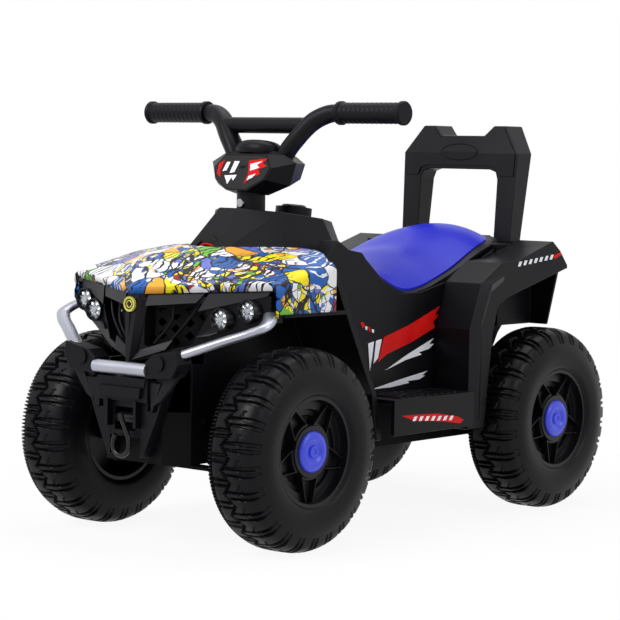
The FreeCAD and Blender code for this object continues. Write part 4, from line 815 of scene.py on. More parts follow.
@dataclass
class Wheel:
    """One wheel: a lugged tyre, a five-spoke rim and a domed hub cap."""

    end: str
    side: Side
    centre_y: float
    centre_x: float = 148.0
    radius: float = 115.0
    half: float = 38.0
    bead_r: float = 62.0
    bead_half: float = 32.0
    tread: Tread = Tread()
    turns: int = 1092
    dish_face: float = 12.5
    # Steps of the dish: start radius and rise
    dish_steps: tuple[Pair, ...] = ((39.0, 3.5), (46.0, 4.0))
    dish_back: float = 6.0
    # Runs over which the steps of dish, hub and spokes rise
    step_run: float = 1.0
    hub_run: float = 1.2
    spoke_run: float = 0.8
    spokes: int = 5
    spoke_turn: float = 0.75
    spoke_foot: float = 15.0
    spoke_tip: float = 7.0
    spoke_face: float = 25.5
    pocket_deep: float = 8.0
    pocket_wall: float = 2.0
    pocket_from: float = 32.0
    hub_r: float = 29.0
    hub_face: float = 28.0
    lip_r: float = 57.2
    well_floor: float = 13.0
    bore_r: float = 5.1
    boss_r: float = 16.0
    boss_back: float = -34.0
    barrel: Pair = (53.5, 58.0)
    bead_gap: float = 0.02
    cap_r: float = 23.4
    cap_gap: float = 0.1

    @property
    def label(self) -> str:
        """End and side of the bike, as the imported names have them."""
        return f"{self.end}_{self.side.name.lower()}"

    @property
    def body(self) -> Body:
        """The body of this wheel."""
        return Body(f"wheel_{self.label}")

    @property
    def centre(self) -> Triple:
        """Middle of the wheel."""
        return (self.side.value * self.centre_x, self.centre_y, self.radius)

    def carried(self, along: np.ndarray, radius: np.ndarray, angle: np.ndarray) -> Shell:
        """Closed grid of (along, r cos t, r sin t) round the wheel's middle."""
        points = np.stack([along, radius * np.cos(angle), radius * np.sin(angle)], axis=-1)
        return Shell.grid(points + np.array(self.centre), wrap_rows=True, wrap_columns=True)

    def tyre(self) -> Shell:
        """Tyre: a smooth section of (across, radius) points round the axle, less the tread's depth.

        Returns:
            The closed mesh.
        """
        half, bead, top = self.half, self.bead_r, self.radius
        outer = np.array([
            (self.bead_half, bead), (half - 2.2, bead + 3.5), (half - 0.4, bead + 11), (half, bead + 22),
            (half - 2.6, bead + 34), (half - 8.0, top - 6.5), (half - 17, top - 1.8), (0, top),
        ])
        section = spline(outer, 41)
        section = np.vstack([section, section[-2::-1] * np.array([-1.0, 1.0])])
        flat = np.linspace(-self.bead_half, self.bead_half, 6)[1:-1]
        section = np.vstack([section, np.stack([flat, np.full(len(flat), bead)], axis=1)])
        angle = round_turn(self.turns)[:, None]
        along = np.broadcast_to(section[None, :, 0], (self.turns, len(section)))
        plain = np.broadcast_to(section[None, :, 1], along.shape)
        depth = self.tread.depth(along, plain, np.broadcast_to(angle, along.shape))
        return self.carried(along, plain - depth, angle)

    def rim_face(self, radius: np.ndarray, angle: np.ndarray) -> np.ndarray:
        """Height of the rim's face: stepped dish, pointed spokes with sunken middles, hub and lip.

        Args:
            radius: Distance from the axle.
            angle: Angle round the axle.

        Returns:
            Height outwards from the wheel's middle.
        """
        run = self.step_run
        rises = [rise * smooth_step(radius, at, at + run) for at, rise in self.dish_steps]
        dish = self.dish_face + sum(rises)
        turn = (angle * self.spokes / (2 * np.pi) + self.spoke_turn) % 1.0
        off = np.abs(turn - 0.5) * 2 * np.pi / self.spokes
        part = np.clip((radius - self.hub_r) / (self.lip_r - self.hub_r), 0.0, 1.0)
        half = self.spoke_foot + (self.spoke_tip - self.spoke_foot) * part
        inside = half - radius * off
        spoke = smooth_step(inside, -self.spoke_run, self.spoke_run)
        pocket = smooth_step(inside, self.pocket_wall, self.pocket_wall + self.spoke_run)
        pocket = pocket * smooth_step(radius, self.pocket_from, self.pocket_from + run)
        face = dish + (self.spoke_face - dish) * spoke - self.pocket_deep * pocket
        hub = 1.0 - smooth_step(radius, self.hub_r, self.hub_r + self.hub_run)
        lip = smooth_step(radius, self.lip_r, self.lip_r + run)
        face = face + (self.hub_face - face) * hub
        return face + (self.bead_half - face) * lip

    def rim(self) -> Shell:
        """Rim: the face runs in to the hub well; bore, boss, back of the dish and barrel close it.

        Returns:
            The closed mesh.
        """
        rim = self.bead_r - self.bead_gap
        well = self.cap_r + self.cap_gap
        face_r = np.linspace(rim, well, 84)
        back = np.array([
            (self.well_floor, well), (self.well_floor, self.bore_r), (self.boss_back, self.bore_r),
            (self.boss_back, self.boss_r), (self.dish_back, self.boss_r), (self.dish_back, self.barrel[0]),
            (-self.bead_half, self.barrel[1]), (-self.bead_half, rim), (0.0, rim),
        ])
        angle = round_turn(self.turns // 2)[:, None]
        front = self.rim_face(face_r[None, :], angle)
        rest = np.broadcast_to(back[None, :, 0], (len(angle), len(back)))
        along = np.concatenate([front, rest], axis=1) * self.side.value
        return self.carried(along, np.concatenate([face_r, back[:, 1]])[None, :], angle)

    def cap(self) -> Shell:
        """Hub cap: a rounded ring round a bowl with a middle boss, carried round the axle.

        Returns:
            The closed mesh.
        """
        edge = self.cap_r
        profile = np.array([
            (22.0, POLE), (22.0, edge), (29.0, edge), (30.6, edge - 0.7), (31.8, edge - 2.6),
            (32.6, edge - 6.0), (32.8, 14.5), (32.2, 12.6), (30.2, 10.6), (29.6, 8.6), (29.8, 7.6),
            (31.6, 6.8), (31.9, 5.4), (31.4, 4.2), (30.2, 3.4), (30.0, POLE),
        ])
        profile[:, 0] *= self.side.value
        return turned(profile, 96, self.centre)

    def build(self, yard: Yard) -> None:
        """Make the three pieces of the wheel.

        Args:
            yard: Where they go.
        """
        for kind, shell, finish, slot in (
            ("tyre", self.tyre(), Finishes.tread, Slot.TREAD),
            ("rim", self.rim(), Finishes.rim, Slot.RIM),
            ("hub_cap", self.cap(), Finishes.cap, Slot.CAP),
        ):
            node = f"{kind}_{self.label}"
            yard.place(f"{node}_form", shell, finish, self.body, slot, (node,))


@dataclass
class Hood:
    """Printed hood: a domed skin from the swept lip to the console, with side flanks."""

    lip_y: float = -341.0
    lip_z: float = 292.0
    corner_x: float = 150.0
    lip_sweep: float = 67.0
    lip_rise: float = 9.0
    skirt_z: float = 268.0
    skin: float = 3.0
    fold: float = 6.0
    fold_back: float = 2.0
    rounding: float = 9.0
    # Across the bike: x, then y and z of the crest, then y and z of the rear edge
    stations: tuple[tuple[float, ...], ...] = (
        (0, -292, 320.5, -239.2, 334.6), (26, -289, 320.5, -239.2, 334.6),
        (63, -260, 320.5, -154.5, 333.5), (86, -240, 320.5, -143.2, 332.5),
        (120, -233, 315, -154.2, 329), (149, -233, 309.6, -177.3, 321.4),
    )

    def shell(self) -> Shell:
        """Skin of the hood.

        Across the bike the lip, crest and rear edge are smooth functions of x; along it, a smooth
        line joins the three. The flanks hang from the outer edge through a quarter circle.

        Returns:
            The open skin, which the wall thickness closes.
        """
        table = np.array(self.stations, float)
        across = np.linspace(0.0, table[-1, 0], 61)
        crest_rear = hermite(table[:, 0], table[:, 1:], across)
        share = across / self.corner_x
        lip = np.stack([self.lip_y + share * self.lip_sweep, self.lip_z + share * self.lip_rise], -1)
        lines = np.stack([lip, crest_rear[:, :2], crest_rear[:, 2:]])
        run = np.linspace(0.0, 1.0, 49)
        along = hermite(np.array([0.0, 0.5, 1.0]), lines, run)
        width = np.broadcast_to(across[None, :, None], along.shape[:2] + (1,))
        top = np.concatenate([width, along], axis=-1)
        turn = np.linspace(0.0, np.pi / 2, 7)[1:, None]
        curl = self.rounding * np.concatenate([np.sin(turn), 0 * turn, np.cos(turn) - 1], axis=1)
        corner = top[:, -1:] + curl[None]
        foot = corner[:, -1:]
        drop = np.linspace(0.0, 1.0, 9)[None, 1:, None]
        flank = foot + drop * (self.skirt_z - foot[..., 2:]) * np.array([0.0, 0.0, 1.0])
        half = np.concatenate([top, corner, flank], axis=1)
        fold = half[:1] + np.array([0.0, self.fold_back, -self.fold])
        half = np.concatenate([fold, half], axis=0)
        other = half[:, :0:-1] * np.array([-1.0, 1.0, 1.0])
        return Shell.grid(np.concatenate([other, half], axis=1))

    def build(self, yard: Yard) -> None:
        """Make the hood with its wall thickness.

        Args:
            yard: Where it goes.
        """
        piece = yard.place("hood_form", self.shell(), Finishes.hood, slot=Slot.HOOD, nodes=("hood",),
                           sharp=40.0, closed=False)
        wall = piece.modifiers.new("wall", "SOLIDIFY")
        wall.thickness = self.skin * MM
        wall.offset = -1.0


@dataclass
class Seat:
    """Blue saddle: a domed skin, low at the middle of its sides, that rises to the rear."""

    half: float = 95.5
    skin: float = 10.0
    edge_skin: float = 4.0
    least_skin: float = 1.0
    front: float = -49.0
    rear: float = 249.5
    front_bay: float = 27.0
    bay_run: Pair = (0.55, 0.92)
    plan_power: float = 0.9
    lip_wide: float = 5.0
    lip_drop: float = 5.0
    lip_front: float = -30.0
    lip_rear: float = 257.0
    lip_bluntness: float = 0.35
    # Along the bike: y, half width as a share, height of the edge, height of the crown
    rows: tuple[tuple[float, ...], ...] = (
        (-50, 0.93, 323, 329), (-8, 0.98, 298, 313), (31, 1.0, 284, 311), (70, 1.0, 288, 317),
        (100, 0.99, 297, 325), (133, 0.98, 309, 332), (166, 0.95, 323, 343), (190, 0.92, 332, 351),
        (212, 0.88, 338, 356), (230, 0.78, 341, 358), (241, 0.62, 344, 357), (247, 0.44, 347, 356),
        (250, 0.26, 349, 354),
    )

    def shell(self) -> Shell:
        """Saddle: edge and crown heights and the half width are smooth functions of y.

        Across, the top is edge + (crown - edge)(1 - v^2), and the underside lies one skin lower.

        Returns:
            The closed mesh.
        """
        places, shares, edges, crowns = np.array(self.rows, float).T
        run = np.linspace(0.0, 1.0, 73)[:, None]
        turn = round_turn(96)[None, :]
        level = self.front + run * (self.rear - self.front)
        wide = hermite(places, shares, level) * self.half
        v = np.cos(turn)
        x = wide * np.sign(v) * np.abs(v) ** self.plan_power
        reach = np.clip(np.abs(x) / self.half, 0.0, 1.0)
        start = self.front + self.front_bay * (1.0 - smooth_step(reach, *self.bay_run))
        y = start + (self.rear - start) * run
        edge = hermite(places, edges, y)
        crown = hermite(places, crowns, y)
        arch = 1.0 - np.clip(np.abs(x) / wide, 0.0, 1.0) ** 2
        top = edge + (crown - edge) * arch
        under = edge - self.edge_skin + (crown - edge - self.skin) * arch
        z = np.where(np.sin(turn) >= 0, top, np.minimum(under, top - self.least_skin))
        return Shell.rings(np.stack([x, y, z], axis=-1))

    def lip(self) -> "Seat":
        """Body lip round the saddle: the same form, wider, lower and blunter at the rear.

        Returns:
            The sizes of the lip.
        """
        rows = tuple((y, share ** self.lip_bluntness, edge - self.lip_drop, crown - 2 * self.lip_drop)
                     for y, share, edge, crown in self.rows)
        half = self.half + self.lip_wide
        return replace(self, half=half, front=self.lip_front, rear=self.lip_rear, rows=rows)

    def build(self, yard: Yard) -> None:
        """Make the seat and the lip that it sits in.

        Args:
            yard: Where they go.
        """
        yard.place("seat_form", self.shell(), Finishes.seat, slot=Slot.SEAT, nodes=("seat",), sharp=50.0)
        yard.place("seat_lip", self.lip().shell(), Finishes.body, sharp=50.0)


@dataclass
class Fascia:
    """Relief of the front: brow and jaw facets, the beak under the badge, grille ribs and four lamps."""

    face_y: float = -340.2
    sweep: float = 67.0 / 150.0
    thick: float = 6.0
    rib_half: float = 1.7
    lamp_r: float = 11.4
    lamp_gap: float = 0.4
    tube_wall: float = 1.8
    tube_proud: float = 9.0
    # Rounding of the tube's front edge, along and across, and depth of its flared mouth
    tube_edge: Pair = (1.0, 0.6)
    tube_mouth: float = 5.0
    bowl_gap: float = 0.5
    bowl_step: float = 1.0
    flutes: int = 9
    flute_deep: float = 0.6
    dome: float = 4.0
    # Raised ring of the bowl: middle, half width and softness as shares of its radius, and rise
    bowl_ring: Triple = (0.45, 0.08, 0.03)
    ring_rise: float = 1.4
    lamps: tuple[Pair, ...] = ((98.3, 260.5), (126.6, 270.5))
    badge: Triple = (0.0, -344.6, 274.0)
    badge_disc: Outline = ((1.0, POLE), (1.0, 5.9), (-0.9, 5.9), (-0.9, POLE))
    # Ring of the badge: its rod's place along the axis and distance from it, half depth and half width
    badge_ring: Pair = (-1.0, 3.8)
    badge_rod: Pair = (0.6, 0.7)
    # Outlines of (x, z, lift before the face): inner brow, outer brow, jaw and cheek
    facets: tuple[Line, ...] = (
        ((17, 287.5, -1), (79, 291.0, -1), (71, 278.0, 4), (17, 272.6, 5)),
        ((83, 291.2, -1), (147, 295.0, -1), (145, 288.0, 1), (74, 268.6, 6)),
        ((4, 221, 0), (44, 235.3, 0), (39, 224.4, 5), (2, 211, 6)),
        ((71, 240, 4), (93, 255.2, 0), (106, 250.4, 0), (84, 241.4, 4)),
    )
    ribs: tuple[Line, ...] = (
        ((41.5, 277.0, -6), (40.8, 258.0, -3), (20.0, 230.0, -6)),
        ((69.0, 278.0, -6), (61.4, 262.4, -3), (35.0, 230.0, -6)),
    )
    # Beak sections: height, back half, front half, back y, front y
    beak_rings: tuple[tuple[float, ...], ...] = (
        (289, 16, 9, -328, -338), (263, 14, 8, -334, -344), (209, 4.5, 2.4, -341, -348),
    )

    def at(self, x: float, z: float) -> Triple:
        """Place on the swept face."""
        return (x, self.face_y + x * self.sweep, z)

    def on_face(self, outline: Line) -> np.ndarray:
        """Points of (x, z, lift) on the swept face, moved forwards by the lift."""
        x, z, lift = np.array(outline, float).T
        return np.stack([x, self.face_y + x * self.sweep - lift, z], axis=-1)

    def beak(self) -> Shell:
        """Beak: flat-fronted sections that narrow downwards.

        Returns:
            The closed mesh.
        """
        height, back_half, front_half, back_y, front_y = np.array(self.beak_rings, float).T
        half = np.stack([-back_half, -front_half, front_half, back_half], axis=1)
        depth = np.stack([back_y, front_y, front_y, back_y], axis=1)
        return Shell.rings(np.stack([half, depth, np.broadcast_to(height[:, None], half.shape)], axis=-1))

    def tube(self, x: float, z: float) -> Shell:
        """Lamp housing: a plain tube that stands out of the swept face.

        Args:
            x: Place of the lamp across the bike.
            z: Height of the lamp.

        Returns:
            The closed mesh.
        """
        wall = self.lamp_r + self.tube_wall
        inner = self.lamp_r - self.lamp_gap
        front = -self.tube_proud
        edge_deep, edge_wide = self.tube_edge
        profile = np.array([
            (self.thick, wall), (front + edge_deep, wall), (front, wall - edge_wide),
            (front, self.lamp_r + self.lamp_gap), (front + self.tube_mouth, inner), (self.thick, inner),
        ])
        return turned(profile, 48, self.at(x, z), "y")

    def bowl(self, x: float, z: float) -> Shell:
        """Lamp: a dome d (1 - r^2) with petals |cos(n t / 2)| pressed into it, closed by a flat back.

        Args:
            x: Place of the lamp across the bike.
            z: Height of the lamp.

        Returns:
            The closed mesh.
        """
        radius = np.concatenate([np.linspace(POLE, 1.0, 15), [1.0, POLE]])[None, :]
        angle = round_turn(108)[:, None]
        petal = 1.0 - self.flute_deep + self.flute_deep * np.abs(np.cos(angle * self.flutes / 2))
        ring = self.ring_rise * pulse(radius, *self.bowl_ring)
        along = self.bowl_step - self.tube_proud + self.dome * radius ** 2 * petal + ring
        along[:, -2:] = 0.0
        reach = radius * (self.lamp_r - self.bowl_gap)
        points = np.stack([reach * np.cos(angle), along, reach * np.sin(angle)], axis=-1)
        return Shell.grid(points + np.array(self.at(x, z)), wrap_rows=True, wrap_columns=True)

    def build(self, yard: Yard) -> None:
        """Make the facets, beak, ribs, badge and lamps of both sides.

        Args:
            yard: Where they go.
        """
        relief = [plate(self.on_face(outline), (0.0, self.thick, 0.0)) for outline in self.facets]
        ribs = [rod(spline(self.on_face(line), 25), self.rib_half, 10, roundness=0.8) for line in self.ribs]
        tubes = both_sides([self.tube(*place) for place in self.lamps])
        bowls = both_sides([self.bowl(*place) for place in self.lamps])
        # The facets and beak get the lighter black copy as painted highlight.
        yard.place("fascia_facets", both_sides(relief), Finishes.facet, sharp=CRISP)
        yard.place("fascia_beak", self.beak(), Finishes.facet, sharp=CRISP)
        yard.place("grille_ribs", both_sides(ribs), Finishes.body)
        turn = round_turn(10)
        rod_section = np.stack([np.sin(turn), np.cos(turn)], axis=-1) * np.array(self.badge_rod)
        ring = turned(np.array(self.badge_ring) + rod_section, 48, self.badge, "y")
        disc = turned(np.array(self.badge_disc), 48, self.badge, "y")
        yard.place("badge_disc", disc, Finishes.gloss, slot=Slot.CHROME)
        yard.place("badge_ring", ring, Finishes.brass, slot=Slot.CHROME)
        yard.place("lamp_tubes", tubes, Finishes.rim, slot=Slot.CHROME, nodes=("headlight_bezels",))
        yard.place("lamp_bowls", bowls, Finishes.chrome, slot=Slot.LENS, nodes=("headlight_lenses",),
                   sharp=20.0)


@dataclass
class Winch:
    """Silver bars, and the chin block, fairlead rails and smooth hook below them."""

    front: float = -360.0
    back: float = -336.0
    # Blocks across the middle: half width, step behind the front, lower and upper edge
    blocks: tuple[tuple[float, ...], ...] = ((32.0, 0.0, 170.5, 182.5), (37.0, 3.0, 183.0, 193.0))
    block_taper: float = 0.94
    rail: Outline = ((20, 167), (24, 167), (24, 137), (20, 137))
    rail_step: float = 2.0
    rail_deep: float = 10.0
    hook_y: float = -357.0
    hook_r: float = 2.9
    hook_line: Outline = (
        (0, 152), (3, 144), (9, 133), (13.5, 121), (11.5, 110), (4, 105), (-5, 106), (-11, 113),
        (-10.5, 122), (-8, 128),
    )
    # Middle line of the left side bar, from its foot to its tip
    side_bar: Line = (
        (72, -352, 218), (84, -345, 223), (120, -322.5, 238), (147, -305, 249), (155.5, -296, 254),
        (154.5, -285, 260), (147, -274, 266),
    )
    side_halves: Pair = (8.0, 5.2)
    front_half: float = 41.0
    front_bar: Triple = (7.3, -356.6, 203.0)
    # Facets of the skid bib, as (x, y, z)
    bib: tuple[Line, ...] = (
        ((39, -352, 189), (58, -354, 189), (44, -353, 156), (40, -351, 158)),
        ((62, -353, 193), (86, -352, 202), (58, -354, 170), (46, -354, 163)),
    )
    bib_thick: float = 5.0

    def block(self, half: float, step: float, low: float, high: float) -> Shell:
        """Block across the middle of the bike with a slightly narrower lower edge.

        Args:
            half: Half width of its upper edge.
            step: How far it stands behind the front.
            low: Height of its lower edge.
            high: Height of its upper edge.

        Returns:
            The closed mesh.
        """
        foot = self.block_taper * half
        front = self.front + step
        outline = ((-half, high), (half, high), (foot, low), (-foot, low))
        return upright_plate(outline, front, self.back - front)

    def bars(self) -> Shell:
        """Silver bars: a flat oval section along both side lines, and a round bar across the front.

        Returns:
            The mesh of the three bars.
        """
        line = spline(np.array(self.side_bar, float), 61)
        side = swept(line, np.tile(self.side_halves, (len(line), 1)), 0.9, 28)
        return join_all([side, side.mirrored(), cross_bar(self.front_half, *self.front_bar)])

    def build(self, yard: Yard) -> None:
        """Make the blocks, rails, hook, silver bars and bib facets.

        Args:
            yard: Where they go.
        """
        rails = both_sides([upright_plate(self.rail, self.front + self.rail_step, self.rail_deep)])
        block = join_all([self.block(*sizes) for sizes in self.blocks] + [rails])
        yard.place("winch_block", block, Finishes.body, slot=Slot.FRAME, sharp=CRISP)
        line = np.array([(x, self.hook_y, z) for x, z in self.hook_line], float)
        hook = rod(spline(line, 61), self.hook_r, 14, (0, 1, 0))
        yard.place("hook_form", hook, Finishes.gloss, slot=Slot.FRAME, nodes=("winch_hook",))
        yard.place("bumper_bars_form", self.bars(), Finishes.bars, slot=Slot.BARS, nodes=("bumper_bars",),
                   sharp=40.0)
        facets = both_sides([plate(outline, (0.0, self.bib_thick, 0.0)) for outline in self.bib])
        # The bib facets get the lighter black copy as painted highlight.
        yard.place("bib_facets", facets, Finishes.facet, slot=Slot.FRAME, sharp=CRISP)


@dataclass
class Handlebar:
    """Bent handlebar with flat risers, cross bar, stem, grips and the pod with its plate and cap."""

    column_y: float = -143.0
    grip_y: float = -107.0
    grip_z: float = 493.0
    grip_start: float = 103.0
    grip_end: float = 200.0
    grip_r: float = 12.4
    grip_waves: int = 14
    wave_deep: float = 0.18
    wave_margin: float = 6.5
    # Flanges of the grip: distance from its start or end, and radius
    inner_flange: Outline = ((0, POLE), (0, 13.4), (1, 14.0), (5, 14.0), (6, 13.0))
    outer_flange: Outline = ((-6, 13.2), (-5, 14.0), (-1.4, 14.0), (0, 12.8), (0, POLE))
    # Line of the left riser: x, y, z, half width, half depth
    riser: tuple[tuple[float, ...], ...] = (
        (33, -128, 426, 12.5, 9), (38, -127, 442, 13, 9.5), (54, -123, 464, 12, 10.2),
        (74, -114, 485, 11.4, 10.8), (90, -108.5, 492, 10.9, 10.6), (106, -107, 493, 10.2, 10.2),
        (150, -107, 493, 9.9, 9.9), (194, -107, 493, 9.9, 9.9),
    )
    cross_half: float = 68.0
    cross: Triple = (9.6, -118.0, 478.0)
    # Radius, foot and head of the stem
    stem: Triple = (17.0, 368.5, 430.0)
    pod_z: float = 424.0
    pod_high: float = 62.0
    pod_corners: tuple[float, ...] = (0.28, 0.72, 1.0, 0.86, 0.36)
    pod_lean: float = 0.4
    # Pod sections: y, half width, the heights of the five corners as shares of the pod, lean
    pod_rings: tuple[tuple[float, ...], ...] = (
        (-160.2, 45.0, 0.32, 0.31, 0.06, -0.16, -0.37, 0.4),
        (-139.0, 66.0, 0.44, 0.31, 0.16, -0.27, -0.46, 0.0),
        (-104.0, 50.0, 0.38, 0.28, 0.14, -0.15, -0.30, 0.0),
    )
    plate_y: float = -160.9
    plate_thick: float = 1.2
    plate_edge: Outline = (
        (-31, 441.5), (31, 441.5), (42.5, 427.5), (36, 414), (14, 402.5), (-14, 402.5), (-36, 414),
        (-42.5, 427.5),
    )
    cap_halves: Triple = (32.0, 24.0, 13.0)
    cap_z: float = 447.0
    cap_back: float = 14.0
    cap_tilt: float = 0.12
    cap_power: float = 0.6
    # Angles of the cap's lowest and highest ring
    cap_angles: Pair = (-0.3, math.pi / 2 - 0.02)

    def bar(self) -> Shell:
        """Handlebar: elliptic sections along both risers, a level cross bar and an upright stem.

        Returns:
            The mesh of the four tubes.
        """
        line = spline(np.array(self.riser, float), 81)
        side = swept(line[:, :3], line[:, 3:], 0.85, 28)
        radius, low, high = self.stem
        column = np.linspace((0.0, self.column_y, low), (0.0, self.column_y, high), 5)
        stem = rod(column, radius, 40, (0, 1, 0))
        return join_all([side, side.mirrored(), cross_bar(self.cross_half, *self.cross), stem])

    def grip(self, side: Side) -> Shell:
        """Grip: radius r - d + d cos of its waves between two flanges, carried round the bar.

        Args:
            side: Side of the bike.

        Returns:
            The closed mesh.
        """
        start, end, deep = self.grip_start, self.grip_end, self.wave_deep
        along = np.linspace(start + self.wave_margin, end - self.wave_margin, 113)
        share = (along - start) / (end - start)
        wave = self.grip_r - deep + deep * np.cos(share * self.grip_waves * 2 * np.pi)
        inner = np.array(self.inner_flange) + np.array([start, 0.0])
        outer = np.array(self.outer_flange) + np.array([end, 0.0])
        profile = np.vstack([inner, np.stack([along, wave], axis=-1), outer])
        profile[:, 0] *= side.value
        return turned(profile, 48, (0.0, self.grip_y, self.grip_z))

    def pod(self) -> Shell:
        """Pod: three ten-cornered sections across the bike, joined by flat facets.

        Returns:
            The closed mesh.
        """
        table = np.array(self.pod_rings, float)
        across = table[:, 1:2] * np.array(self.pod_corners)
        rise = self.pod_high * table[:, 2:7]
        side = np.stack([across, table[:, :1] + table[:, 7:] * rise, self.pod_z + rise], axis=-1)
        return Shell.rings(np.concatenate([side, side[:, ::-1] * np.array([-1.0, 1.0, 1.0])], axis=1))

    def on_pod(self, outline: Outline, lift: float) -> np.ndarray:
        """Points of (x, z) on the leaning front of the pod, moved forwards by the lift."""
        x, z = np.array(outline, float).T
        return np.stack([x, self.plate_y + self.pod_lean * (z - self.pod_z) - lift, z], axis=-1)

    def cap(self) -> Shell:
        """Cap on the pod: a low superellipsoid that falls towards the rider.

        Returns:
            The closed mesh.
        """
        turn = round_turn(64)[None, :]
        rise = np.linspace(*self.cap_angles, 17)[:, None]
        level = np.cos(rise) ** self.cap_power
        wide, deep, high = self.cap_halves
        back = deep * level * np.sin(turn)
        x = wide * level * np.cos(turn)
        z = self.cap_z + high * np.sin(rise) - self.cap_tilt * back
        return Shell.rings(np.stack([x, self.column_y + self.cap_back + back, z], axis=-1))

    def build(self, yard: Yard) -> None:
        """Make the bar, grips, pod, cap and plate.

        Args:
            yard: Where they go.
        """
        turning = Body.STEERING
        yard.place("handlebar_form", self.bar(), Finishes.tube, turning, nodes=("handlebar",), sharp=40.0)
        for side in Side:
            node = f"grip_{side.name.lower()}"
            yard.place(f"{node}_form", self.grip(side), Finishes.grip, turning, Slot.GRIP, (node,), 40.0)
        yard.place("pod_form", self.pod(), Finishes.body, turning, nodes=("instrument_pod",), sharp=CRISP)
        yard.place("pod_cap", self.cap(), Finishes.body, turning)
        panel = plate(self.on_pod(self.plate_edge, 0.0), (0.0, self.plate_thick, 0.0))
        yard.place("pod_plate", panel, Finishes.gloss, turning, sharp=CRISP)


@dataclass
class Decals:
    """Thin printed shards: slashes on the side panels, streaks on skirts, fenders and the pod's plate."""

    skin: float = 0.5
    side_x: float = 102.2
    skirt_x: float = 168.1
    tick_lift: float = 0.4
    band_x: float = 158.1
    # Outlines of (y, z) on the side panel, the skirt and the fender's band
    side_red: tuple[Outline, ...] = (
        ((-14, 227), (34, 239), (97, 260), (88, 250), (97, 250), (84, 241), (88, 234), (40, 218),
         (-8, 206), (-25, 197)),
        ((-60, 247), (-54, 247), (-50, 241), (-56, 240)),
        ((-45, 241), (-41, 240), (-40, 235), (-43, 235)),
    )
    side_white: tuple[Outline, ...] = (
        ((-9, 187), (32, 203), (86, 221), (77, 214), (87, 214), (76, 208), (56, 205), (62, 202), (30, 197)),
        ((-35, 165.5), (14, 173), (74, 181), (64, 176), (70, 175.5), (58, 171.5), (34, 171), (38, 168.5),
         (2, 165.5)),
        ((-44, 221), (-33, 222.8), (-36, 204), (-40, 188)),
        ((-29, 223.4), (-18, 225), (-25, 202), (-33, 196)),
        ((-50, 242), (-46, 241), (-47, 237), (-50, 238)),
        ((-38, 238), (-33, 237), (-34, 233), (-37, 234)),
    )
    skirt_red: Outline = (
        (-62, 141.5), (8, 139), (50, 132), (62, 127), (54, 123.5), (20, 128.5), (-40, 134.5),
    )
    band_red: Outline = ((262, 321.5), (279, 325.5), (280, 321.5), (264, 317))
    tick_count: int = 7
    # Near and far corner of a tick from its middle, as shares of the step between ticks
    tick_corners: Pair = (0.1, 0.45)
    # Rows of ticks: first and last place, and half height
    skirt_ticks: tuple[Pair, Pair, float] = ((-36, 136), (36, 131.5), 2.6)
    band_ticks: tuple[Pair, Pair, float] = ((188, 312.5), (258, 319.5), 3.0)
    # Outlines of (x, z) on the pod's plate
    pod_red: tuple[Outline, ...] = (
        ((8, 436), (36, 439), (30, 433), (38, 430), (26, 426), (30, 420), (18, 416), (9, 408), (12, 420)),
        ((-38, 432), (-30, 436), (-33, 424), (-30, 416), (-37, 420)),
    )
    pod_white: tuple[Outline, ...] = (
        ((-26, 434), (-20, 434), (-23, 424), (-29, 423)),
        ((-14, 435), (-6, 435), (-10, 422), (-17, 421)),
        ((-24, 418), (-5, 419), (-8, 412), (-12, 416), (-16, 408), (-20, 413)),
        ((12, 432), (30, 436), (22, 431), (27, 428), (14, 424)),
        ((14, 418), (24, 421), (20, 416), (13, 413)),
    )
    pod_lifts: Pair = (0.4, 0.8)

    def ticks(self, start: Pair, end: Pair, high: float) -> tuple[Outline, ...]:
        """Row of slanted ticks.

        Args:
            start: Place of the first tick as (y, z).
            end: Place of the last tick.
            high: Half height of a tick.

        Returns:
            The outlines as (y, z) points.
        """
        step = (end[0] - start[0]) / self.tick_count
        near, far = step * np.array(self.tick_corners)
        middles = np.linspace(start, end, self.tick_count).tolist()
        return tuple(((y - far, z - high), (y + near, z - high), (y + far, z + high), (y - near, z + high))
                     for y, z in middles)

    def on_side(self, outlines: tuple[Outline, ...], x: float) -> Shell:
        """Plates of (y, z) outlines on both upright sides of the bike.

        Args:
            outlines: The outlines.
            x: Distance of the side from the middle of the bike.

        Returns:
            The mesh of all plates.
        """
        plates = []
        for outline in outlines:
            face = [(x, y, z) for y, z in outline]
            plates.append(plate(face, (self.skin, 0.0, 0.0)))
        return both_sides(plates)

    def build(self, yard: Yard, bars: Handlebar) -> None:
        """Make the printed shards.

        Args:
            yard: Where they go.
            bars: The handlebar whose pod carries some of them.
        """
        for name, outlines, x, finish in (
            ("side_red", self.side_red, self.side_x, Finishes.red),
            ("skirt_red", (self.skirt_red,), self.skirt_x, Finishes.red),
            ("band_red", (self.band_red,), self.band_x, Finishes.red),
            ("side_white", self.side_white, self.side_x, Finishes.white),
            ("skirt_white", self.ticks(*self.skirt_ticks), self.skirt_x + self.tick_lift, Finishes.white),
            ("band_white", self.ticks(*self.band_ticks), self.band_x, Finishes.white),
        ):
            yard.place(name, self.on_side(outlines, x), finish, sharp=CRISP)
        for name, outlines, lift, finish in (
            ("pod_red", self.pod_red, self.pod_lifts[0], Finishes.red),
            ("pod_white", self.pod_white, self.pod_lifts[1], Finishes.white),
        ):
            shards = [plate(bars.on_pod(outline, lift), (0.0, self.skin, 0.0)) for outline in outlines]
            yard.place(name, join_all(shards), finish, Body.STEERING, sharp=CRISP)


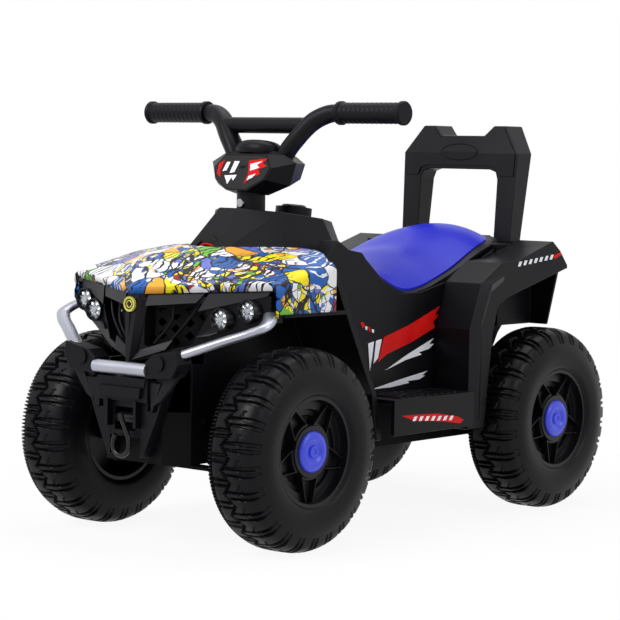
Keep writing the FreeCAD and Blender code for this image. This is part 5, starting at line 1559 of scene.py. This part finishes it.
@dataclass
class Details:
    """Small raised forms: the backrest's yoke face and oval, the fender ridges and the dash vent."""

    oval_half: Pair = (29.0, 10.5)
    oval_place: Triple = (0.0, 270.6, 451.8)
    ring_half: Pair = (1.3, 1.1)
    # Rings of the medallion: share of the oval, and depth behind its middle plane
    medallion_rings: Outline = (
        (1.0, 1.0), (1.0, -0.5), (0.75, -0.5), (0.5, -0.5), (0.25, -0.5), (POLE, -0.5),
    )
    yoke_proud: float = 2.0
    yoke_thick: float = 3.5
    crease: Pair = (272.1, 450.0)
    lean_above: float = 0.267
    lean_below: float = 0.07
    # Left halves of the yoke's two faces, as (x, z)
    yoke: tuple[Outline, ...] = (
        ((35, 470), (48.2, 483), (65.4, 483), (89, 450)),
        ((89, 450), (88.3, 421), (66, 421), (62.5, 430.5), (51, 434)),
    )
    # Fender leg ridge: front edge, crest and rear edge as (x, y, z) from its foot upwards
    ridge: tuple[Line, ...] = (
        ((157.5, 85, 122), (163.5, 99, 124), (157.5, 110, 124)),
        ((157.5, 85, 236), (163.5, 101.5, 243), (157.5, 113, 240)),
        ((157.5, 107, 291), (162.5, 124, 289), (157.5, 129, 278)),
        ((157.5, 150, 303), (159.5, 153, 298), (157.5, 156, 292)),
    )
    ridge_root: float = 10.0
    vent_half: float = 16.0
    vent_rise: float = 15.0
    vent_y: float = -218.0
    vent_deep: float = 26.0
    # Heights of the vent's foot and of the arch's springing
    vent_heights: Pair = (320.0, 337.0)
    # Red rod along the top of the vent, painted as a red glint.
    vent_glint: Line = ((-10, -219, 337), (-4, -220, 338.5), (4, -220, 338.5), (10, -219, 337))
    vent_glint_r: float = 1.2

    def lean(self, rise: np.ndarray) -> np.ndarray:
        """How far the backrest's front lies back at a rise above its crease."""
        return rise * np.where(rise > 0, self.lean_above, self.lean_below)

    def oval(self) -> Shell:
        """Ring: an oval rod along the ellipse (a cos t, b sin t) on the leaning front of the backrest.

        Returns:
            The closed mesh.
        """
        turn = round_turn(72)[:, None]
        small = round_turn(10)[None, :]
        wide, high = self.oval_half
        out = self.ring_half[0] * np.cos(small)
        rise = (high + out) * np.sin(turn)
        y = self.oval_place[1] + self.lean(rise) - self.ring_half[1] * np.sin(small)
        points = np.stack([(wide + out) * np.cos(turn), y, self.oval_place[2] + rise], axis=-1)
        return Shell.grid(points, wrap_rows=True, wrap_columns=True)

    def medallion(self) -> Shell:
        """Face inside the ring: ellipses that shrink to the middle, before a flat back.

        Returns:
            The closed mesh.
        """
        share, depth = np.array(self.medallion_rings).T[:, :, None]
        turn = round_turn(72)[None, :]
        wide, high = self.oval_half
        rise = share * high * np.sin(turn)
        y = self.oval_place[1] + self.lean(rise) + depth
        return Shell.rings(np.stack([share * wide * np.cos(turn), y, self.oval_place[2] + rise], axis=-1))

    def yoke_face(self, half: Outline) -> Shell:
        """One flat face of the yoke: its left half and the mirror image, on the backrest's own lean.

        Args:
            half: Left half of its outline as (x, z).

        Returns:
            The closed mesh.
        """
        left = np.array(half, float)
        x, z = np.vstack([left, left[::-1] * np.array([-1.0, 1.0])]).T
        y = self.crease[0] - self.yoke_proud + self.lean(z - self.crease[1])
        return plate(np.stack([x, y, z], axis=-1), (0.0, self.yoke_thick, 0.0))

    def vent(self) -> Shell:
        """Vent: half an ellipse on an upright foot, pushed back into the console.

        Returns:
            The closed mesh.
        """
        turn = np.linspace(0.0, np.pi, 15)
        foot, spring = self.vent_heights
        x = np.concatenate([self.vent_half * np.cos(turn), [-self.vent_half, self.vent_half]])
        z = np.concatenate([spring + self.vent_rise * np.sin(turn), [foot, foot]])
        return upright_plate(np.stack([x, z], axis=-1), self.vent_y, self.vent_deep)

    def build(self, yard: Yard) -> None:
        """Make the raised forms.

        Args:
            yard: Where they go.
        """
        # The yoke, medallion and fender ridges get the lighter black copy as painted highlight.
        yoke = join_all([self.yoke_face(half) for half in self.yoke])
        yard.place("backrest_yoke", yoke, Finishes.satin, sharp=CRISP)
        # The ring's darker black is painted shade of the groove round the medallion.
        yard.place("backrest_ring", self.oval(), Finishes.shade)
        yard.place("backrest_medallion", self.medallion(), Finishes.satin)
        table = np.array(self.ridge, float)
        root = table[:, 1:2] - np.array([self.ridge_root, 0.0, 0.0])
        ridges = both_sides([Shell.rings(np.concatenate([table, root], axis=1))])
        yard.place("fender_ridges", ridges, Finishes.satin, sharp=CRISP)
        yard.place("vent_arch", self.vent(), Finishes.gloss, sharp=30.0)
        # Red rod in the vent: a painted glint.
        lip = rod(spline(np.array(self.vent_glint, float), 21), self.vent_glint_r, 10)
        yard.place("vent_glint", lip, Finishes.red)


@dataclass
class Mouldings:
    """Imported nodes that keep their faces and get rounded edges, or only a finish."""

    # Node, body and width of the rounding
    rounded: tuple[tuple[str, Body, float], ...] = (
        ("backrest", Body.CHASSIS, 1.6), ("bumper_frame", Body.CHASSIS, 0.8),
        ("centre_body", Body.CHASSIS, 1.4), ("dash_console", Body.CHASSIS, 1.0),
        ("footboard_left", Body.CHASSIS, 0.6), ("footboard_right", Body.CHASSIS, 0.6),
        ("front_fascia", Body.CHASSIS, 0.8), ("front_fender", Body.CHASSIS, 1.0),
        ("rear_fender", Body.CHASSIS, 1.2), ("foot_pedal", Body.PEDAL, 0.6),
        ("winch_fairlead", Body.CHASSIS, 0.6),
    )
    # Nodes that get the lighter black copy as painted highlight.
    painted_highlight_nodes: tuple[str, ...] = ("backrest",)
    plain: tuple[tuple[Finish, tuple[str, ...]], ...] = (
        # These nodes get the darker black as painted shade, because they sit under the body or in recesses;
        # the steering link is steel but is painted as shaded black.
        (Finishes.shade, (
            "chassis_pan", "front_axle_beam", "gearbox", "battery", "rear_cover", "grille_mesh",
            "knuckle_left", "knuckle_right", "steering_link", "drive_dog",
        )),
        (Finishes.steel, (
            "steering_column", "king_pins", "rear_axle", "rear_axle_nuts", "stub_axle_left",
            "stub_axle_right", "axle_nut_front_left", "axle_nut_front_right", "body_screws", "stem_bolt",
        )),
        (Finishes.body, ("bumper_caps", "dash_boss")),
        (Finishes.gloss, ("start_button",)),
        (Finishes.signal, ("direction_switch",)),
        (Finishes.rim, ("charging_socket", "winch_drum")),
        (Finishes.brass, ("nose_badge",)),
    )

    def build(self, yard: Yard) -> None:
        """Make the rounded pieces and dress the rest.

        Args:
            yard: Where they go.
        """
        for node, body, width in self.rounded:
            finish = Finishes.satin if node in self.painted_highlight_nodes else Finishes.body
            yard.rounded(node, finish, body, Slot.BODY, width)
        for finish, nodes in self.plain:
            for node in nodes:
                yard.dress(node, finish)


@dataclass
class Studio:
    """White studio: floor, soft lights, pale surroundings and the photo's camera."""

    eye: Triple = (1.7795, -2.1589, 0.4441)
    target: Triple = (0.0, -0.0306, 0.2545)
    roll: float = 1.05
    focal_pixels: float = 2271.6
    image_pixels: float = 620.0
    sensor: float = 36.0
    floor_reach: float = 6.0
    floor_tone: Colour = (0.86, 0.86, 0.87)
    # Distances between which the floor turns plain white, and its white share near the bike
    floor_white: Triple = (0.40, 0.80, 0.92)
    world_strength: float = 0.22
    # Lights: name, place, aim, edge length in metres, watts
    lights: tuple[tuple[str, Triple, Triple, float, float], ...] = (
        ("key", (-0.6, -2.6, 2.2), (0.0, 0.0, 0.25), 1.6, 76.0),
        ("side", (2.6, 0.4, 1.6), (0.0, 0.1, 0.2), 1.4, 20.0),
        ("top", (0.0, 0.4, 2.6), (0.0, 0.0, 0.3), 2.0, 36.0),
    )

    def camera(self) -> None:
        """Camera at the photo's place; its axes are right, up and back, turned by the roll."""
        data = bpy.data.cameras.new("photo_camera")
        data.sensor_fit = "HORIZONTAL"
        data.sensor_width = self.sensor
        data.lens = self.focal_pixels / self.image_pixels * self.sensor
        data.clip_end = 50.0
        back = (Vector(self.eye) - Vector(self.target)).normalized()
        right = Vector((-back.y, back.x, 0.0)).normalized()
        up = back.cross(right)
        turn = math.radians(self.roll)
        rolled = right * math.cos(turn) + up * math.sin(turn)
        upright = up * math.cos(turn) - right * math.sin(turn)
        view = bpy.data.objects.new("photo_camera", data)
        view.matrix_world = Matrix((
            (rolled.x, upright.x, back.x, self.eye[0]),
            (rolled.y, upright.y, back.y, self.eye[1]),
            (rolled.z, upright.z, back.z, self.eye[2]),
            (0.0, 0.0, 0.0, 1.0),
        ))
        bpy.context.scene.collection.objects.link(view)
        bpy.context.scene.camera = view

    def lamp(self, name: str, place: Triple, aim: Triple, size: float, power: float) -> None:
        """One square soft light.

        Args:
            name: Light name.
            place: Where it hangs.
            aim: Where it points.
            size: Edge length in metres.
            power: Watts.
        """
        data = bpy.data.lights.new(name, "AREA")
        data.size = size
        data.energy = power
        light = bpy.data.objects.new(name, data)
        light.location = place
        light.rotation_euler = (Vector(aim) - Vector(place)).to_track_quat("-Z", "Y").to_euler()
        bpy.context.scene.collection.objects.link(light)

    def white_rays(self, sheet: NodeSheet) -> bpy.types.NodeSocket:
        """Mask of the rays that should meet plain white.

        Args:
            sheet: Nodes of the floor or the world.

        Returns:
            The mask of the camera's rays, those of gloss and those through glass.
        """
        rays = sheet.add("LightPath").outputs
        seen = sheet.math("MAXIMUM", rays["Is Camera Ray"], rays["Is Glossy Ray"])
        return sheet.math("MAXIMUM", seen, rays["Is Transmission Ray"])

    def floor(self) -> None:
        """Pale floor that keeps a soft shadow of the bike."""
        line = np.linspace(-self.floor_reach, self.floor_reach, 3)
        x, y = np.meshgrid(line, line, indexing="ij")
        shell = Shell.grid(np.stack([x, y, np.zeros_like(x)], axis=-1))
        mesh = bpy.data.meshes.new("studio_floor")
        mesh.from_pydata(shell.points.tolist(), [], shell.faces)
        piece = bpy.data.objects.new("studio_floor", mesh)
        bpy.context.scene.collection.objects.link(piece)
        made = bpy.data.materials.new("studio_floor")
        sheet = NodeSheet.fresh(made)
        matt = sheet.add("BsdfDiffuse", {"Color": (*self.floor_tone, 1.0)})
        glow = sheet.add("Emission", {"Color": (1.0, 1.0, 1.0, 1.0), "Strength": 1.0})
        place = sheet.add("TexCoord").outputs["Object"]
        far = sheet.add("VectorMath", {0: place}, operation="LENGTH").outputs["Value"]
        plain = sheet.ramp(far, *self.floor_white)
        share = sheet.math("MULTIPLY", self.white_rays(sheet), plain)
        both = sheet.add("MixShader", {"Fac": share, 1: matt.outputs[0], 2: glow.outputs[0]})
        sheet.feed(sheet.add("OutputMaterial").inputs["Surface"], both.outputs[0])
        mesh.materials.append(made)

    def surroundings(self) -> None:
        """Even pale light all round, white where it is seen."""
        world = bpy.data.worlds.new("studio")
        bpy.context.scene.world = world
        sheet = NodeSheet.fresh(world)
        strength = sheet.ramp(self.white_rays(sheet), 0.0, 1.0, self.world_strength, 1.0)
        light = sheet.add("Background", {"Color": (1.0, 1.0, 1.0, 1.0), "Strength": strength})
        sheet.feed(sheet.add("OutputWorld").inputs["Surface"], light.outputs[0])

    def build(self) -> None:
        """Set up the studio."""
        bpy.context.scene.view_settings.view_transform = "Standard"
        self.camera()
        self.floor()
        self.surroundings()
        for light in self.lights:
            self.lamp(*light)


def main() -> None:
    """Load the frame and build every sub-assembly."""
    logging.basicConfig(level=logging.INFO, format="%(message)s")
    yard = Yard(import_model())
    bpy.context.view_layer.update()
    Studio().build()
    for end, centre_y in (("front", -233.0), ("rear", 249.0)):
        for side in Side:
            Wheel(end, side, centre_y).build(yard)
    Hood().build(yard)
    Seat().build(yard)
    Fascia().build(yard)
    Winch().build(yard)
    bars = Handlebar()
    bars.build(yard)
    Decals().build(yard, bars)
    Details().build(yard)
    Mouldings().build(yard)
    LOG.info("%d pieces made", len(yard.made))


if __name__ == "__main__":
    main()
